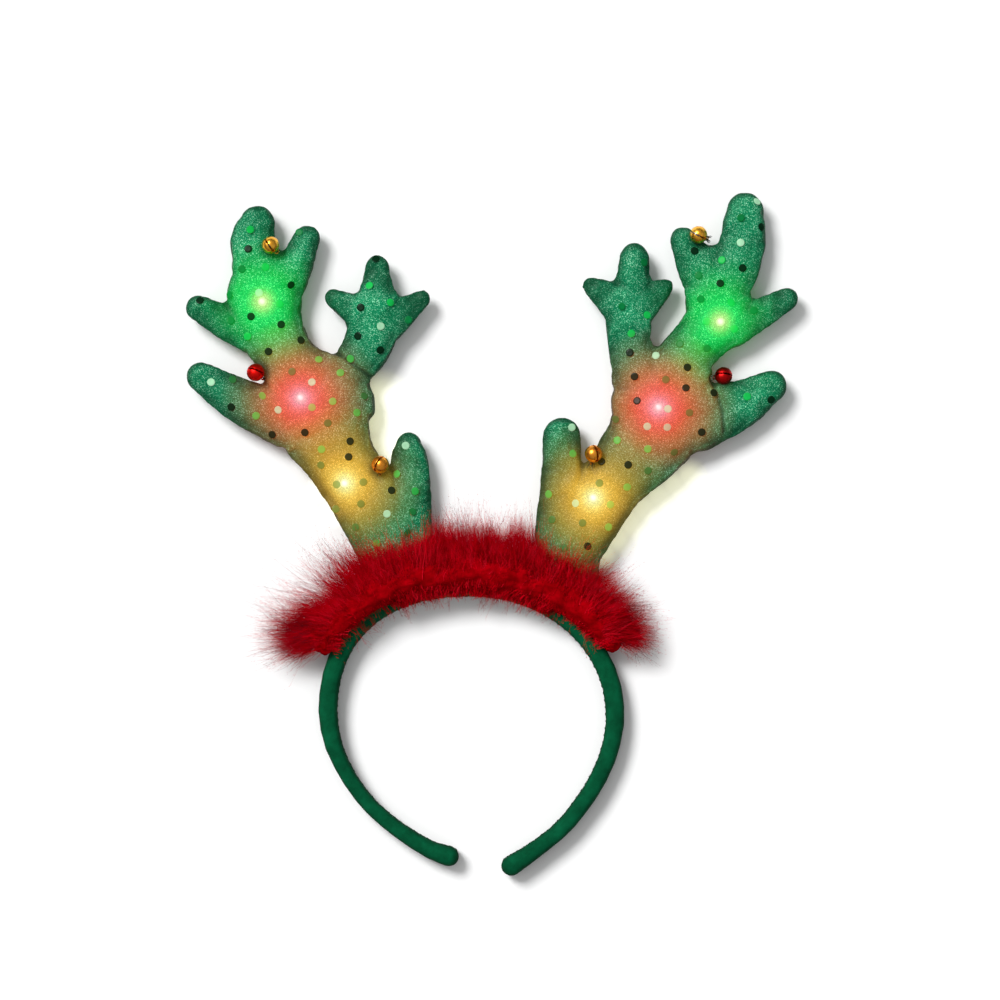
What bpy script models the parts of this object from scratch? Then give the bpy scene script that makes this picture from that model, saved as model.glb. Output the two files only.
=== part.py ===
"""Reindeer antler headband at its real size, in metres, +Z up.

It lies on its back: +Y runs up to the antler tips and +Z to the front.
The origin is at the bottom centre of the whole object.
"""

import math
import random

import bmesh
import bpy
from mathutils import Matrix, Vector

# Overall sizes, measured from the middle and the top of the headband
LEFT_REACH = 0.1484
RIGHT_REACH = 0.1696
LEFT_RISE = 0.1926
RIGHT_RISE = 0.1993

# Stuffed antlers
PALM_WIDTH = 0.0550
PALM_THICKNESS = 0.0240
SWELL_RADIUS = 0.0120
REST_FLAT = 0.0007
CREASE_WIDTH = 0.0024

# Headband
BAND_SPAN = 0.1487
BAND_RISE = 0.0658
LEFT_ARM_DROP = 0.0735
RIGHT_ARM_DROP = 0.0785
LEFT_SHOULDER = 2.3
RIGHT_SHOULDER = 2.0
BAND_THICKNESS = 0.0095
BAND_DEPTH = 0.0140
TIP_THICKNESS = 0.0101

# Marabou trim
TRIM_RADIUS = 0.0150
TRIM_LIFT = 0.0085
TRIM_LAP = 0.0060
TRIM_LEFT_END = 153.0
TRIM_RIGHT_END = 31.0
LOCK_LENGTH = 0.0140
LOCK_WIDTH = 0.0084
LOCK_ROWS = 25
LOCKS_A_ROW = 5
END_LOCKS = 9
LOCK_SEED = 12

# Bells, pellets and lights
BELL_DIAMETER = 0.0091
BELL_WALL = 0.0005
BELL_SLOT = 0.0009
BELL_HOLE = 0.0017
BELL_PRESS = 0.0009
LOOP_DIAMETER = 0.0030
LOOP_WIRE = 0.0008
PELLET_DIAMETER = 0.0028
LED_DIAMETER = 0.0044
LED_BODY = 0.0034
LED_PROUD = 0.0006

# Gaps between neighbours
CLEARANCE = 0.0003
TRIM_CLEARANCE = 0.0009

# How finely the cloth and the feathers are fused
CLOTH_VOXEL = 0.0015
CLOTH_SMOOTHING = 4
CLOTH_DETAIL = 0.048
TRIM_VOXEL = 0.0015
TRIM_DETAIL = 0.052
GAUGE_VOXEL = 0.0020
GAUGE_DETAIL = 0.060

# Worked out from the sizes above
PALM_RADIUS = PALM_WIDTH / 2
BAND_HALF = BAND_THICKNESS / 2
TRIM_HEIGHT = TRIM_RADIUS - REST_FLAT
BELL_RADIUS = BELL_DIAMETER / 2
LED_RADIUS = LED_DIAMETER / 2
MIDDLE_X = (LEFT_REACH - RIGHT_REACH) / 2
WHOLE_LENGTH = RIGHT_RISE + BAND_HALF + BAND_RISE + RIGHT_ARM_DROP + TIP_THICKNESS / 2
BAND_TOP_Y = WHOLE_LENGTH / 2 - RIGHT_RISE
WIDEST_Y = BAND_TOP_Y - BAND_HALF - BAND_RISE
OVER_ALL = 2 * (TRIM_RADIUS + LOCK_LENGTH)

# One limb a name, from its root to its tip.
# Columns: share of the reach out from the middle, share of the rise above the band's top,
# share of the palm's half width.
LEFT_LIMBS = {
    "beam": (
        (0.263, -0.038, 0.60),
        (0.270, 0.062, 0.68),
        (0.350, 0.190, 0.69),
        (0.447, 0.306, 0.68),
        (0.506, 0.397, 0.89),
        (0.523, 0.472, 0.99),
        (0.635, 0.579, 0.58),
        (0.715, 0.692, 0.69),
        (0.718, 0.772, 0.71),
    ),
    "base_tine": (
        (0.214, 0.102, 0.45),
        (0.210, 0.249, 0.38),
        (0.217, 0.330, 0.35),
        (0.217, 0.357, 0.26),
    ),
    "top_tine": (
        (0.729, 0.786, 0.56),
        (0.757, 0.879, 0.46),
        (0.757, 0.917, 0.42),
        (0.746, 0.949, 0.36),
    ),
    "inner_tine": (
        (0.652, 0.772, 0.38),
        (0.597, 0.863, 0.32),
        (0.572, 0.909, 0.27),
    ),
    "middle_tine": (
        (0.743, 0.649, 0.41),
        (0.857, 0.686, 0.34),
        (0.951, 0.724, 0.26),
    ),
    "low_tine": (
        (0.649, 0.424, 0.54),
        (0.805, 0.475, 0.43),
        (0.941, 0.539, 0.30),
    ),
    "fork": (
        (0.423, 0.552, 0.41),
        (0.360, 0.627, 0.47),
        (0.329, 0.713, 0.53),
    ),
    "fork_inner": (
        (0.367, 0.702, 0.38),
        (0.482, 0.751, 0.19),
    ),
    "fork_middle": (
        (0.329, 0.745, 0.41),
        (0.329, 0.799, 0.29),
        (0.329, 0.836, 0.23),
    ),
    "fork_outer": (
        (0.290, 0.686, 0.38),
        (0.172, 0.748, 0.19),
    ),
}

RIGHT_LIMBS = {
    "beam": (
        (0.300, -0.036, 0.56),
        (0.297, 0.060, 0.62),
        (0.355, 0.153, 0.62),
        (0.434, 0.251, 0.64),
        (0.537, 0.358, 0.84),
        (0.586, 0.448, 0.99),
        (0.665, 0.585, 0.51),
        (0.750, 0.674, 0.64),
        (0.741, 0.746, 0.60),
    ),
    "base_tine": (
        (0.275, 0.111, 0.53),
        (0.272, 0.254, 0.39),
        (0.275, 0.365, 0.38),
    ),
    "top_tine": (
        (0.763, 0.746, 0.51),
        (0.805, 0.808, 0.47),
        (0.826, 0.876, 0.43),
        (0.833, 0.948, 0.38),
    ),
    "inner_tine": (
        (0.720, 0.746, 0.41),
        (0.680, 0.819, 0.38),
        (0.644, 0.876, 0.27),
    ),
    "web": (
        (0.708, 0.828, 0.23),
        (0.769, 0.838, 0.23),
    ),
    "middle_tine": (
        (0.796, 0.648, 0.38),
        (0.884, 0.687, 0.30),
        (0.963, 0.723, 0.23),
    ),
    "low_tine": (
        (0.686, 0.415, 0.68),
        (0.811, 0.446, 0.48),
        (0.912, 0.497, 0.32),
    ),
    "fork": (
        (0.513, 0.526, 0.56),
        (0.482, 0.604, 0.41),
        (0.479, 0.668, 0.45),
        (0.479, 0.707, 0.49),
    ),
    "fork_inner": (
        (0.443, 0.712, 0.38),
        (0.364, 0.756, 0.19),
    ),
    "fork_middle": (
        (0.492, 0.746, 0.36),
        (0.492, 0.785, 0.32),
        (0.495, 0.829, 0.30),
    ),
    "fork_outer": (
        (0.519, 0.710, 0.38),
        (0.592, 0.754, 0.18),
    ),
}

# Columns: share of the reach, share of the rise
LEFT_CREASES = (
    ((0.478, 0.592), (0.419, 0.574), (0.353, 0.536)),
)
RIGHT_CREASES = (
    ((0.741, 0.492), (0.745, 0.445), (0.763, 0.394)),
)

# Columns: node, share of the reach, share of the rise, degrees that the bell slides to its seat,
# degrees that its loop points, degrees that its slot is rolled, metal
LEFT_BELLS = (
    ("bell_left_top", 0.697, 0.890, -135.0, -48.0, 12.0, "gold"),
    ("bell_left_middle", 0.750, 0.550, 0.0, -35.0, -22.0, "red"),
    ("bell_left_base", 0.316, 0.303, -90.0, -98.0, 32.0, "gold"),
)
RIGHT_BELLS = (
    ("bell_right_top", 0.690, 0.887, -90.0, -20.0, 10.0, "gold"),
    ("bell_right_middle", 0.767, 0.523, 180.0, 188.0, 20.0, "red"),
    ("bell_right_base", 0.371, 0.321, -90.0, -100.0, -32.0, "gold"),
)

# Columns: node, share of the reach, share of the rise, colour
LEFT_LEDS = (
    ("led_left_green", 0.726, 0.739, "green"),
    ("led_left_red", 0.593, 0.482, "pink"),
    ("led_left_yellow", 0.440, 0.253, "yellow"),
)
RIGHT_LEDS = (
    ("led_right_green", 0.756, 0.662, "green"),
    ("led_right_red", 0.568, 0.441, "pink"),
    ("led_right_yellow", 0.370, 0.207, "yellow"),
)

# The arms below the widest level, as far as their tips.
# Columns: share of the arm's drop, share of the half span, share of the band's thickness
LEFT_ARM = (
    (0.105, 0.986, 0.96),
    (0.246, 0.951, 0.89),
    (0.387, 0.885, 0.82),
    (0.528, 0.799, 0.79),
    (0.669, 0.681, 0.79),
    (0.810, 0.514, 0.82),
    (0.951, 0.295, 0.92),
)
LEFT_TIP = (1.000, 0.156)
RIGHT_ARM = (
    (0.098, 0.993, 0.95),
    (0.230, 0.965, 0.92),
    (0.362, 0.913, 0.90),
    (0.493, 0.840, 0.89),
    (0.625, 0.743, 0.88),
    (0.757, 0.625, 0.86),
    (0.888, 0.451, 0.88),
)
RIGHT_TIP = (1.000, 0.275)

# The band's section is flat towards the head and crowned outwards.
# Columns: share of half the thickness, outwards; share of half the depth, frontwards
BAND_SECTION = (
    (-1.00, -0.62),
    (-1.00, 0.62),
    (-0.72, 0.93),
    (-0.30, 1.00),
    (0.35, 1.00),
    (0.78, 0.86),
    (1.00, 0.45),
    (1.00, -0.45),
    (0.78, -0.86),
    (0.35, -1.00),
    (-0.30, -1.00),
    (-0.72, -0.93),
)

# Locks stand round the core from the floor side, over the front, to the side towards the head.
# The fan is in degrees; leans, droop and shares go with a lock's own length and the core's radius.
LOCK_FAN_START = -32.0
LOCK_FAN = 170.0
LOCK_FAN_INNER = 110.5
LOCK_LEAN = 0.55
LOCK_END_LEAN = 1.1
LOCK_DROOP = 0.14
LOCK_INNER_SHARE = 0.45
LOCK_ROOT_SHARE = 0.75
LOCK_TIP_SHARE = 1.06
LOCK_LENGTHS = (0.65, 1.15)
LOCK_WIDTHS = (0.85, 1.15)

# Columns: share of a lock's length, share of its half width
LOCK_TAPER = (
    (0.00, 1.00),
    (0.45, 0.80),
    (0.80, 0.48),
    (1.00, 0.26),
)

# Bell: how far the slot runs past the middle, and how much of the wall its loop sinks into
BELL_SLOT_SHARE = 0.30
BELL_LOOP_SUNK = 0.7

# Steps and sides of the round forms
ARCH_STEPS = 16
BAND_STATIONS = 46
CAP_ANGLES = (24.0, 48.0, 72.0)
LED_ANGLES = (0.0, 38.0, 66.0)
LIMB_SIDES = 14
LIMB_STEPS = 4
LOCK_SIDES = 6
LOOP_SIDES = 6
LOOP_STEPS = 9
CREASE_SIDES = 6
BELL_SIDES = 12
BELL_STEPS = 6
BELL_HOLLOW_SIDES = 8
BELL_HOLE_SIDES = 6
BELL_GAUGE_STEPS = 7
LED_SIDES = 10
PELLET_SIDES = 8
PELLET_STEPS = 4
SHARP_ANGLE = 40.0


def clear_scene():
    for thing in list(bpy.data.objects):
        bpy.data.objects.remove(thing, do_unlink=True)


def finish(name, colour, roughness, metallic=0.0, glow=0.0):
    """A Principled material."""
    made = bpy.data.materials.new(name)
    made.use_nodes = True
    shader = made.node_tree.nodes["Principled BSDF"]
    shader.inputs["Base Color"].default_value = (*colour, 1.0)
    shader.inputs["Roughness"].default_value = roughness
    shader.inputs["Metallic"].default_value = metallic
    if glow:
        shader.inputs["Emission Color"].default_value = (*colour, 1.0)
        shader.inputs["Emission Strength"].default_value = glow
    return made


def add_object(name, bm, material=None):
    """Close a bmesh into an object whose faces point out."""
    bmesh.ops.recalc_face_normals(bm, faces=bm.faces)
    mesh = bpy.data.meshes.new(name)
    bm.to_mesh(mesh)
    bm.free()
    thing = bpy.data.objects.new(name, mesh)
    bpy.context.collection.objects.link(thing)
    if material:
        mesh.materials.append(material)
        mesh.shade_smooth()
        mesh.set_sharp_from_angle(angle=math.radians(SHARP_ANGLE))
    return thing


def as_cutter(thing):
    thing.hide_render = True
    thing.display_type = "WIRE"
    return thing


def cut(thing, cutter, name, operation="DIFFERENCE"):
    """A Boolean that stays on the object. A melted skin may cross itself in places, which it allows for."""
    modifier = thing.modifiers.new(name, "BOOLEAN")
    modifier.operation = operation
    modifier.solver = "EXACT"
    modifier.use_self = True
    modifier.object = cutter


def baked(thing):
    """The object's mesh with its modifiers worked in."""
    view = bpy.context.evaluated_depsgraph_get()
    return bpy.data.meshes.new_from_object(thing.evaluated_get(view))


def sweep_offcuts(mesh):
    """Take away what the cuts left loose, and keep the largest piece."""
    bm = bmesh.new()
    bm.from_mesh(mesh)
    waiting = set(bm.verts)
    pieces = []
    while waiting:
        piece = []
        edge_of_piece = [waiting.pop()]
        while edge_of_piece:
            vert = edge_of_piece.pop()
            piece.append(vert)
            for edge in vert.link_edges:
                other = edge.other_vert(vert)
                if other in waiting:
                    waiting.remove(other)
                    edge_of_piece.append(other)
        pieces.append(piece)
    pieces.sort(key=len)
    for piece in pieces[:-1]:
        bmesh.ops.delete(bm, geom=piece, context="VERTS")
    bm.to_mesh(mesh)
    bm.free()


def skin(bm, rings, first, last):
    """Faces over a row of rings, closed by a point at each end."""
    loops = [[bm.verts.new(point) for point in ring] for ring in rings]
    count = len(loops[0])
    for near, far in zip(loops, loops[1:]):
        for i in range(count):
            j = (i + 1) % count
            bm.faces.new((near[i], near[j], far[j], far[i]))
    for loop, end in ((loops[0], bm.verts.new(first)), (loops[-1], bm.verts.new(last))):
        for i in range(count):
            bm.faces.new((loop[i], loop[(i + 1) % count], end))


def turned(bm, profile, sides, frame=None):
    """A solid turned about +Z. The profile holds (radius, height) and starts and ends on the axis."""
    frame = frame or Matrix.Identity(4)
    rings = []
    for radius, height in profile[1:-1]:
        turn = [2 * math.pi * i / sides for i in range(sides)]
        rings.append([frame @ Vector((radius * math.cos(a), radius * math.sin(a), height)) for a in turn])
    skin(bm, rings, frame @ Vector((0, 0, profile[0][1])), frame @ Vector((0, 0, profile[-1][1])))


def ball_profile(radius, steps):
    """Pole to pole, upwards."""
    turn = [math.pi * i / steps for i in range(steps + 1)]
    return [(radius * math.sin(a), -radius * math.cos(a)) for a in turn]


def prism(bm, outline, low, high):
    """An outline raised straight up."""
    bottom = [bm.verts.new((p.x, p.y, low)) for p in outline]
    top = [bm.verts.new((p.x, p.y, high)) for p in outline]
    bm.faces.new(bottom)
    bm.faces.new(top)
    for i in range(len(outline)):
        j = (i + 1) % len(outline)
        bm.faces.new((bottom[i], bottom[j], top[j], top[i]))


def through(rows, steps):
    """A smooth run through the rows of a table, with `steps` points for each row."""
    rows = [Vector(row) for row in rows]
    ends = [2 * rows[0] - rows[1]] + rows + [2 * rows[-1] - rows[-2]]
    run = []
    for a, b, c, d in zip(ends, ends[1:], ends[2:], ends[3:]):
        for t in (i / steps for i in range(steps)):
            run.append(0.5 * (2 * b + (c - a) * t + (2 * a - 5 * b + 4 * c - d) * t**2
                              + (3 * b - a - 3 * c + d) * t**3))
    return run + [rows[-1]]


def evenly(run, count):
    """The run again, with `count` points at equal distances."""
    lengths = [0.0]
    for near, far in zip(run, run[1:]):
        lengths.append(lengths[-1] + (far - near).length)
    spaced = []
    k = 0
    for i in range(count):
        wanted = lengths[-1] * i / (count - 1)
        while k < len(run) - 2 and lengths[k + 1] < wanted:
            k += 1
        share = (wanted - lengths[k]) / (lengths[k + 1] - lengths[k])
        spaced.append(run[k].lerp(run[k + 1], min(share, 1.0)))
    return spaced


def headings(run):
    """The unit direction of a run at each of its points, in the XY plane."""
    found = []
    for i in range(len(run)):
        step = run[min(i + 1, len(run) - 1)] - run[max(i - 1, 0)]
        found.append(Vector((step[0], step[1])).normalized())
    return found


class Antler:
    """Places and sizes of one antler, from the shares in its tables."""

    def __init__(self, side, reach, rise, limbs):
        self.side = side
        self.reach = reach
        self.rise = rise
        self.limbs = {name: [self.station(row) for row in rows] for name, rows in limbs.items()}

    def place(self, out, up):
        return Vector((MIDDLE_X + self.side * out * self.reach, BAND_TOP_Y + up * self.rise))

    def station(self, row):
        spot = self.place(row[0], row[1])
        return Vector((spot.x, spot.y, row[2] * PALM_RADIUS))

    def depth(self, point):
        """Roughly how far a point lies outside the stuffed limbs, less than 0 inside them."""
        nearest = math.inf
        for rows in self.limbs.values():
            run = through(rows, LIMB_STEPS)
            for a, b in zip(run, run[1:]):
                along = (b - a).to_2d()
                share = (point.to_2d() - a.to_2d()).dot(along) / along.length_squared
                middle = a.lerp(b, min(max(share, 0.0), 1.0))
                radius = middle.z
                half = stuffed(radius)
                across = (point.to_2d() - middle.to_2d()).length / radius
                raised = (point.z - ANTLER_MIDDLE) / half
                level = math.hypot(across, raised)
                slope = math.hypot(across / radius, raised / half)
                nearest = min(nearest, (level - 1.0) * level / slope if slope else -half)
        return nearest

    def front(self, spot):
        """The height of the front surface at a place."""
        height = PALM_THICKNESS + ANTLER_MIDDLE
        while height > ANTLER_MIDDLE and self.depth(Vector((spot.x, spot.y, height))) > 0:
            height -= CLEARANCE / 3
        return height


def stuffed(radius):
    """Half the thickness of a stuffed limb of this radius."""
    return PALM_THICKNESS / 2 * (1.0 - math.exp(-radius / SWELL_RADIUS))


ANTLER_MIDDLE = stuffed(PALM_RADIUS) - REST_FLAT


def capped(run, ways):
    """The stations of a run, with round caps: point, way, share ahead, share of the width."""
    stations = [(point, way, 0.0, 1.0) for point, way in zip(run, ways)]
    for angle in CAP_ANGLES:
        bend = math.radians(angle)
        stations.insert(0, (run[0], ways[0], -math.sin(bend), math.cos(bend)))
        stations.append((run[-1], ways[-1], math.sin(bend), math.cos(bend)))
    return stations


def limb(bm, rows, height, half_of, grow=0.0):
    """One rounded limb: oval rings along a bent centre line, with a round cap at each end."""
    run = through(rows, LIMB_STEPS)
    ways = headings(run)
    rings = []
    for point, way, ahead, share in capped(run, ways):
        radius = point[2] + grow
        half = half_of(point[2]) + grow
        centre = point.to_2d() + way * radius * ahead
        across = Vector((-way.y, way.x))
        ring = []
        for i in range(LIMB_SIDES):
            turn = 2 * math.pi * i / LIMB_SIDES
            spot = centre + across * radius * share * math.cos(turn)
            ring.append(Vector((spot.x, spot.y, height + half * share * math.sin(turn))))
        rings.append(ring)
    first = run[0].to_2d() - ways[0] * (run[0][2] + grow)
    last = run[-1].to_2d() + ways[-1] * (run[-1][2] + grow)
    skin(bm, rings, (first.x, first.y, height), (last.x, last.y, height))


def band_run():
    """The band's centre line and half thickness, from the right tip over the top to the left tip."""
    arms = []
    for side, drop_size, rows, tip in ((1.0, RIGHT_ARM_DROP, RIGHT_ARM, RIGHT_TIP),
                                       (-1.0, LEFT_ARM_DROP, LEFT_ARM, LEFT_TIP)):
        arm = []
        for drop, across, thick in rows + ((*tip, TIP_THICKNESS / BAND_THICKNESS),):
            arm.append(Vector((MIDDLE_X + side * across * BAND_SPAN / 2, WIDEST_Y - drop * drop_size,
                               thick * BAND_HALF)))
        arms.append(arm)
    top = [Vector((*arch(180.0 * i / ARCH_STEPS), BAND_HALF)) for i in range(ARCH_STEPS + 1)]
    return evenly(through(arms[0][::-1] + top + arms[1], 4), BAND_STATIONS)


def arch(degrees):
    """A point of the band's upper arch, counted from its right shoulder."""
    turn = math.radians(degrees)
    bend = 2.0 / (RIGHT_SHOULDER if degrees < 90.0 else LEFT_SHOULDER)
    across = math.copysign(abs(math.cos(turn)) ** bend, math.cos(turn))
    return Vector((MIDDLE_X + BAND_SPAN / 2 * across, WIDEST_Y + BAND_RISE * abs(math.sin(turn)) ** bend))


def beside(run, distance):
    """A run moved outwards."""
    return [point.to_2d() + Vector((way.y, -way.x)) * distance for point, way in zip(run, headings(run))]


def make_headband(run, material):
    ways = headings(run)
    rings = []
    for point, way, ahead, share in capped(run, ways):
        half = point.z
        centre = point.to_2d() + way * half * ahead
        out = Vector((way.y, -way.x))
        ring = []
        for outward, forward in BAND_SECTION:
            spot = centre + out * half * share * outward
            ring.append(Vector((spot.x, spot.y, BAND_DEPTH / 2 * (1.0 + share * forward))))
        rings.append(ring)
    bm = bmesh.new()
    first = run[0].to_2d() - ways[0] * run[0].z
    last = run[-1].to_2d() + ways[-1] * run[-1].z
    skin(bm, rings, (first.x, first.y, BAND_DEPTH / 2), (last.x, last.y, BAND_DEPTH / 2))
    return add_object("headband", bm, material)


def make_gauges(run):
    """Cutters that keep the cloth and the feathers clear of the band and off the floor."""
    gauges = {}
    bm = bmesh.new()
    prism(bm, beside(run, BAND_HALF + CLEARANCE), -OVER_ALL, OVER_ALL)
    gauges["foot"] = as_cutter(add_object("foot_gauge", bm))
    bm = bmesh.new()
    prism(bm, beside(run, BAND_HALF + CLEARANCE), -OVER_ALL, BAND_DEPTH + CLEARANCE)
    gauges["channel"] = as_cutter(add_object("channel_gauge", bm))
    bm = bmesh.new()
    prism(bm, beside(run, BAND_HALF - TRIM_LAP), -OVER_ALL, OVER_ALL)
    gauges["lap"] = as_cutter(add_object("lap_gauge", bm))
    bm = bmesh.new()
    prism(bm, beside(run, BAND_HALF - CLEARANCE), -OVER_ALL, OVER_ALL)
    gauges["root"] = as_cutter(add_object("root_gauge", bm))
    bm = bmesh.new()
    bmesh.ops.create_cube(bm, size=1.0, matrix=Matrix.Translation((0.0, 0.0, -0.5)))
    gauges["floor"] = as_cutter(add_object("floor_gauge", bm))
    return gauges


def fuse(thing, voxel, smoothing, detail):
    """Melt overlapping limbs into one skin and thin it to few faces."""
    remesh = thing.modifiers.new("fuse", "REMESH")
    remesh.mode = "VOXEL"
    remesh.voxel_size = voxel
    remesh.use_smooth_shade = True
    soften = thing.modifiers.new("soften", "SMOOTH")
    soften.factor = 0.5
    soften.iterations = smoothing
    thin = thing.modifiers.new("thin", "DECIMATE")
    thin.ratio = detail


def make_antler(name, antler, creases, gauges, material):
    bm = bmesh.new()
    for rows in antler.limbs.values():
        limb(bm, rows, ANTLER_MIDDLE, stuffed)
    cloth = add_object(name, bm, material)
    fuse(cloth, CLOTH_VOXEL, CLOTH_SMOOTHING, CLOTH_DETAIL)
    cut(cloth, gauges["foot"], "foot on the band")
    cut(cloth, gauges["floor"], "flat where it rests")
    for i, crease in enumerate(creases):
        bm = bmesh.new()
        spots = [antler.place(out, up) for out, up in crease]
        groove = through([Vector((spot.x, spot.y, antler.front(spot))) for spot in spots], 2)
        wide = CREASE_WIDTH / 2
        rings = []
        for k, way in enumerate(headings(groove)):
            across = Vector((-way.y, way.x, 0.0))
            taper = wide * math.sin(math.pi * (k + 0.6) / (len(groove) + 0.2))
            turns = [2 * math.pi * t / CREASE_SIDES for t in range(CREASE_SIDES)]
            rings.append([groove[k] + across * taper * math.cos(a)
                          + Vector((0.0, 0.0, taper * math.sin(a))) for a in turns])
        skin(bm, rings, groove[0] * 1.5 - groove[1] * 0.5, groove[-1] * 1.5 - groove[-2] * 0.5)
        cut(cloth, as_cutter(add_object(f"{name}_crease_{i}", bm)), "crease")
    return cloth


def make_trim(run, antlers, gauges, material):
    """A marabou strip: a thick core along the arch with locks fused to it."""
    draw = random.Random(LOCK_SEED)
    sweep = TRIM_LEFT_END - TRIM_RIGHT_END
    turns = [TRIM_RIGHT_END + sweep * i / (LOCK_ROWS - 1) for i in range(LOCK_ROWS)]
    core = beside([arch(turn) for turn in turns], TRIM_LIFT)
    ways = headings(core)
    bm = bmesh.new()
    rows = [Vector((point.x, point.y, TRIM_RADIUS)) for point in core]
    limb(bm, rows[::3], TRIM_HEIGHT, lambda radius: radius)
    for i, (point, way) in enumerate(zip(core, ways)):
        out = Vector((way.y, -way.x, 0.0))
        along = Vector((way.x, way.y, 0.0))
        past_end = -1.0 if i == 0 else 1.0 if i == LOCK_ROWS - 1 else 0.0
        count = END_LOCKS if past_end else LOCKS_A_ROW
        for k in range(count):
            turn = math.radians(LOCK_FAN_START + LOCK_FAN * (k + draw.uniform(0.1, 0.9)) / count)
            spread = out * math.cos(turn) + Vector((0.0, 0.0, math.sin(turn)))
            lean = along * (draw.uniform(-LOCK_LEAN, LOCK_LEAN) + LOCK_END_LEAN * past_end)
            short = LOCK_INNER_SHARE if turn > math.radians(LOCK_FAN_INNER) else 1.0
            free = LOCK_LENGTH * short * draw.uniform(*LOCK_LENGTHS)
            root = Vector((point.x, point.y, TRIM_HEIGHT)) + spread * TRIM_RADIUS * LOCK_ROOT_SHARE
            sunk = TRIM_RADIUS * (1.0 - LOCK_ROOT_SHARE)
            lock(bm, root, (spread + lean).normalized(), free + sunk, draw.uniform(*LOCK_WIDTHS))
    trim = add_object("marabou_trim", bm, material)
    fuse(trim, TRIM_VOXEL, 1, TRIM_DETAIL)
    cut(trim, gauges["channel"], "channel for the band")
    cut(trim, gauges["lap"], "edge over the band")
    cut(trim, gauges["floor"], "flat where it rests")
    for name, antler in antlers.items():
        bm = bmesh.new()
        limb(bm, antler.limbs["beam"][:4], ANTLER_MIDDLE, stuffed, TRIM_CLEARANCE)
        limb(bm, antler.limbs["base_tine"], ANTLER_MIDDLE, stuffed, TRIM_CLEARANCE)
        gauge = as_cutter(add_object(f"{name}_gauge", bm))
        fuse(gauge, GAUGE_VOXEL, 1, GAUGE_DETAIL)
        cut(gauge, gauges["root"], "stops at the band")
        cut(trim, gauge, "round the antler's foot")
    mesh = baked(trim)
    sweep_offcuts(mesh)
    trim.modifiers.clear()
    trim.data = mesh
    return trim


def lock(bm, root, way, length, fat):
    """One tapered lock of feather, drooping a little towards the floor."""
    side = way.orthogonal().normalized()
    other = way.cross(side)
    turns = [2 * math.pi * i / LOCK_SIDES for i in range(LOCK_SIDES)]

    def spine(share):
        return root + way * length * share - Vector((0.0, 0.0, LOCK_DROOP * length * share**2))

    rings = []
    for share, wide in LOCK_TAPER:
        radius = LOCK_WIDTH / 2 * wide * fat
        rings.append([spine(share) + (side * math.cos(a) + other * math.sin(a)) * radius for a in turns])
    skin(bm, rings, root - way * LOCK_WIDTH / 4, spine(LOCK_TIP_SHARE))


def make_bell_mesh():
    """A thin ball with a slot between two holes and a wire loop, loop to +X and slot to +Z."""
    lay = Matrix.Rotation(math.radians(90.0), 4, "Y")
    bm = bmesh.new()
    turned(bm, ball_profile(BELL_RADIUS, BELL_STEPS), BELL_SIDES, lay)
    bell = add_object("bell_shape", bm)
    cutters = []
    bm = bmesh.new()
    turned(bm, ball_profile(BELL_RADIUS - BELL_WALL, PELLET_STEPS), BELL_HOLLOW_SIDES, lay)
    cutters.append((as_cutter(add_object("bell_hollow", bm)), "DIFFERENCE"))
    bm = bmesh.new()
    slot_end = BELL_RADIUS * BELL_SLOT_SHARE
    slot_box = Matrix.Translation((-BELL_RADIUS, 0.0, 0.0)) @ Matrix.Diagonal(
        (2 * (BELL_RADIUS + slot_end), BELL_SLOT, 3 * BELL_RADIUS, 1.0))
    bmesh.ops.create_cube(bm, size=1.0, matrix=slot_box)
    cutters.append((as_cutter(add_object("bell_slot", bm)), "DIFFERENCE"))
    bm = bmesh.new()
    hole = [(0.0, -BELL_DIAMETER), (BELL_HOLE / 2, -BELL_DIAMETER), (BELL_HOLE / 2, BELL_DIAMETER),
            (0.0, BELL_DIAMETER)]
    turned(bm, hole, BELL_HOLE_SIDES, Matrix.Translation((slot_end, 0.0, 0.0)))
    cutters.append((as_cutter(add_object("bell_holes", bm)), "DIFFERENCE"))
    bm = bmesh.new()
    ring_middle = (LOOP_DIAMETER - LOOP_WIRE) / 2
    ring_centre = Vector((BELL_RADIUS + LOOP_DIAMETER / 2 - BELL_WALL * BELL_LOOP_SUNK, 0.0, 0.0))
    rings = []
    for i in range(LOOP_STEPS):
        turn = 2 * math.pi * i / LOOP_STEPS
        out = Vector((math.cos(turn), math.sin(turn), 0.0))
        ring = []
        for k in range(LOOP_SIDES):
            wire = 2 * math.pi * k / LOOP_SIDES
            spot = out * (ring_middle + LOOP_WIRE / 2 * math.cos(wire))
            spot.z = LOOP_WIRE / 2 * math.sin(wire)
            ring.append(bm.verts.new(ring_centre + spot))
        rings.append(ring)
    for near, far in zip(rings, rings[1:] + rings[:1]):
        for k in range(LOOP_SIDES):
            after = (k + 1) % LOOP_SIDES
            bm.faces.new((near[k], near[after], far[after], far[k]))
    cutters.append((as_cutter(add_object("bell_loop", bm)), "UNION"))
    for cutter, operation in cutters:
        cut(bell, cutter, cutter.name, operation)
    mesh = baked(bell)
    for thing in [bell] + [cutter for cutter, operation in cutters]:
        bpy.data.objects.remove(thing, do_unlink=True)
    return mesh


def bell_seat(antler, row):
    """Where the bell presses into the cloth: lowered from the front, then slid in if it still hangs free."""
    spot = antler.place(row[1], row[2])
    way = Vector((math.cos(math.radians(row[3])), math.sin(math.radians(row[3])), 0.0))
    centre = Vector((spot.x, spot.y, PALM_THICKNESS + BELL_RADIUS))
    step = CLEARANCE / 3
    touching = BELL_RADIUS - BELL_PRESS
    while centre.z > ANTLER_MIDDLE and antler.depth(centre) > touching:
        centre.z -= step
    for i in range(int(PALM_WIDTH / step)):
        if antler.depth(centre) <= touching:
            break
        centre += way * step
    return centre


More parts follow.
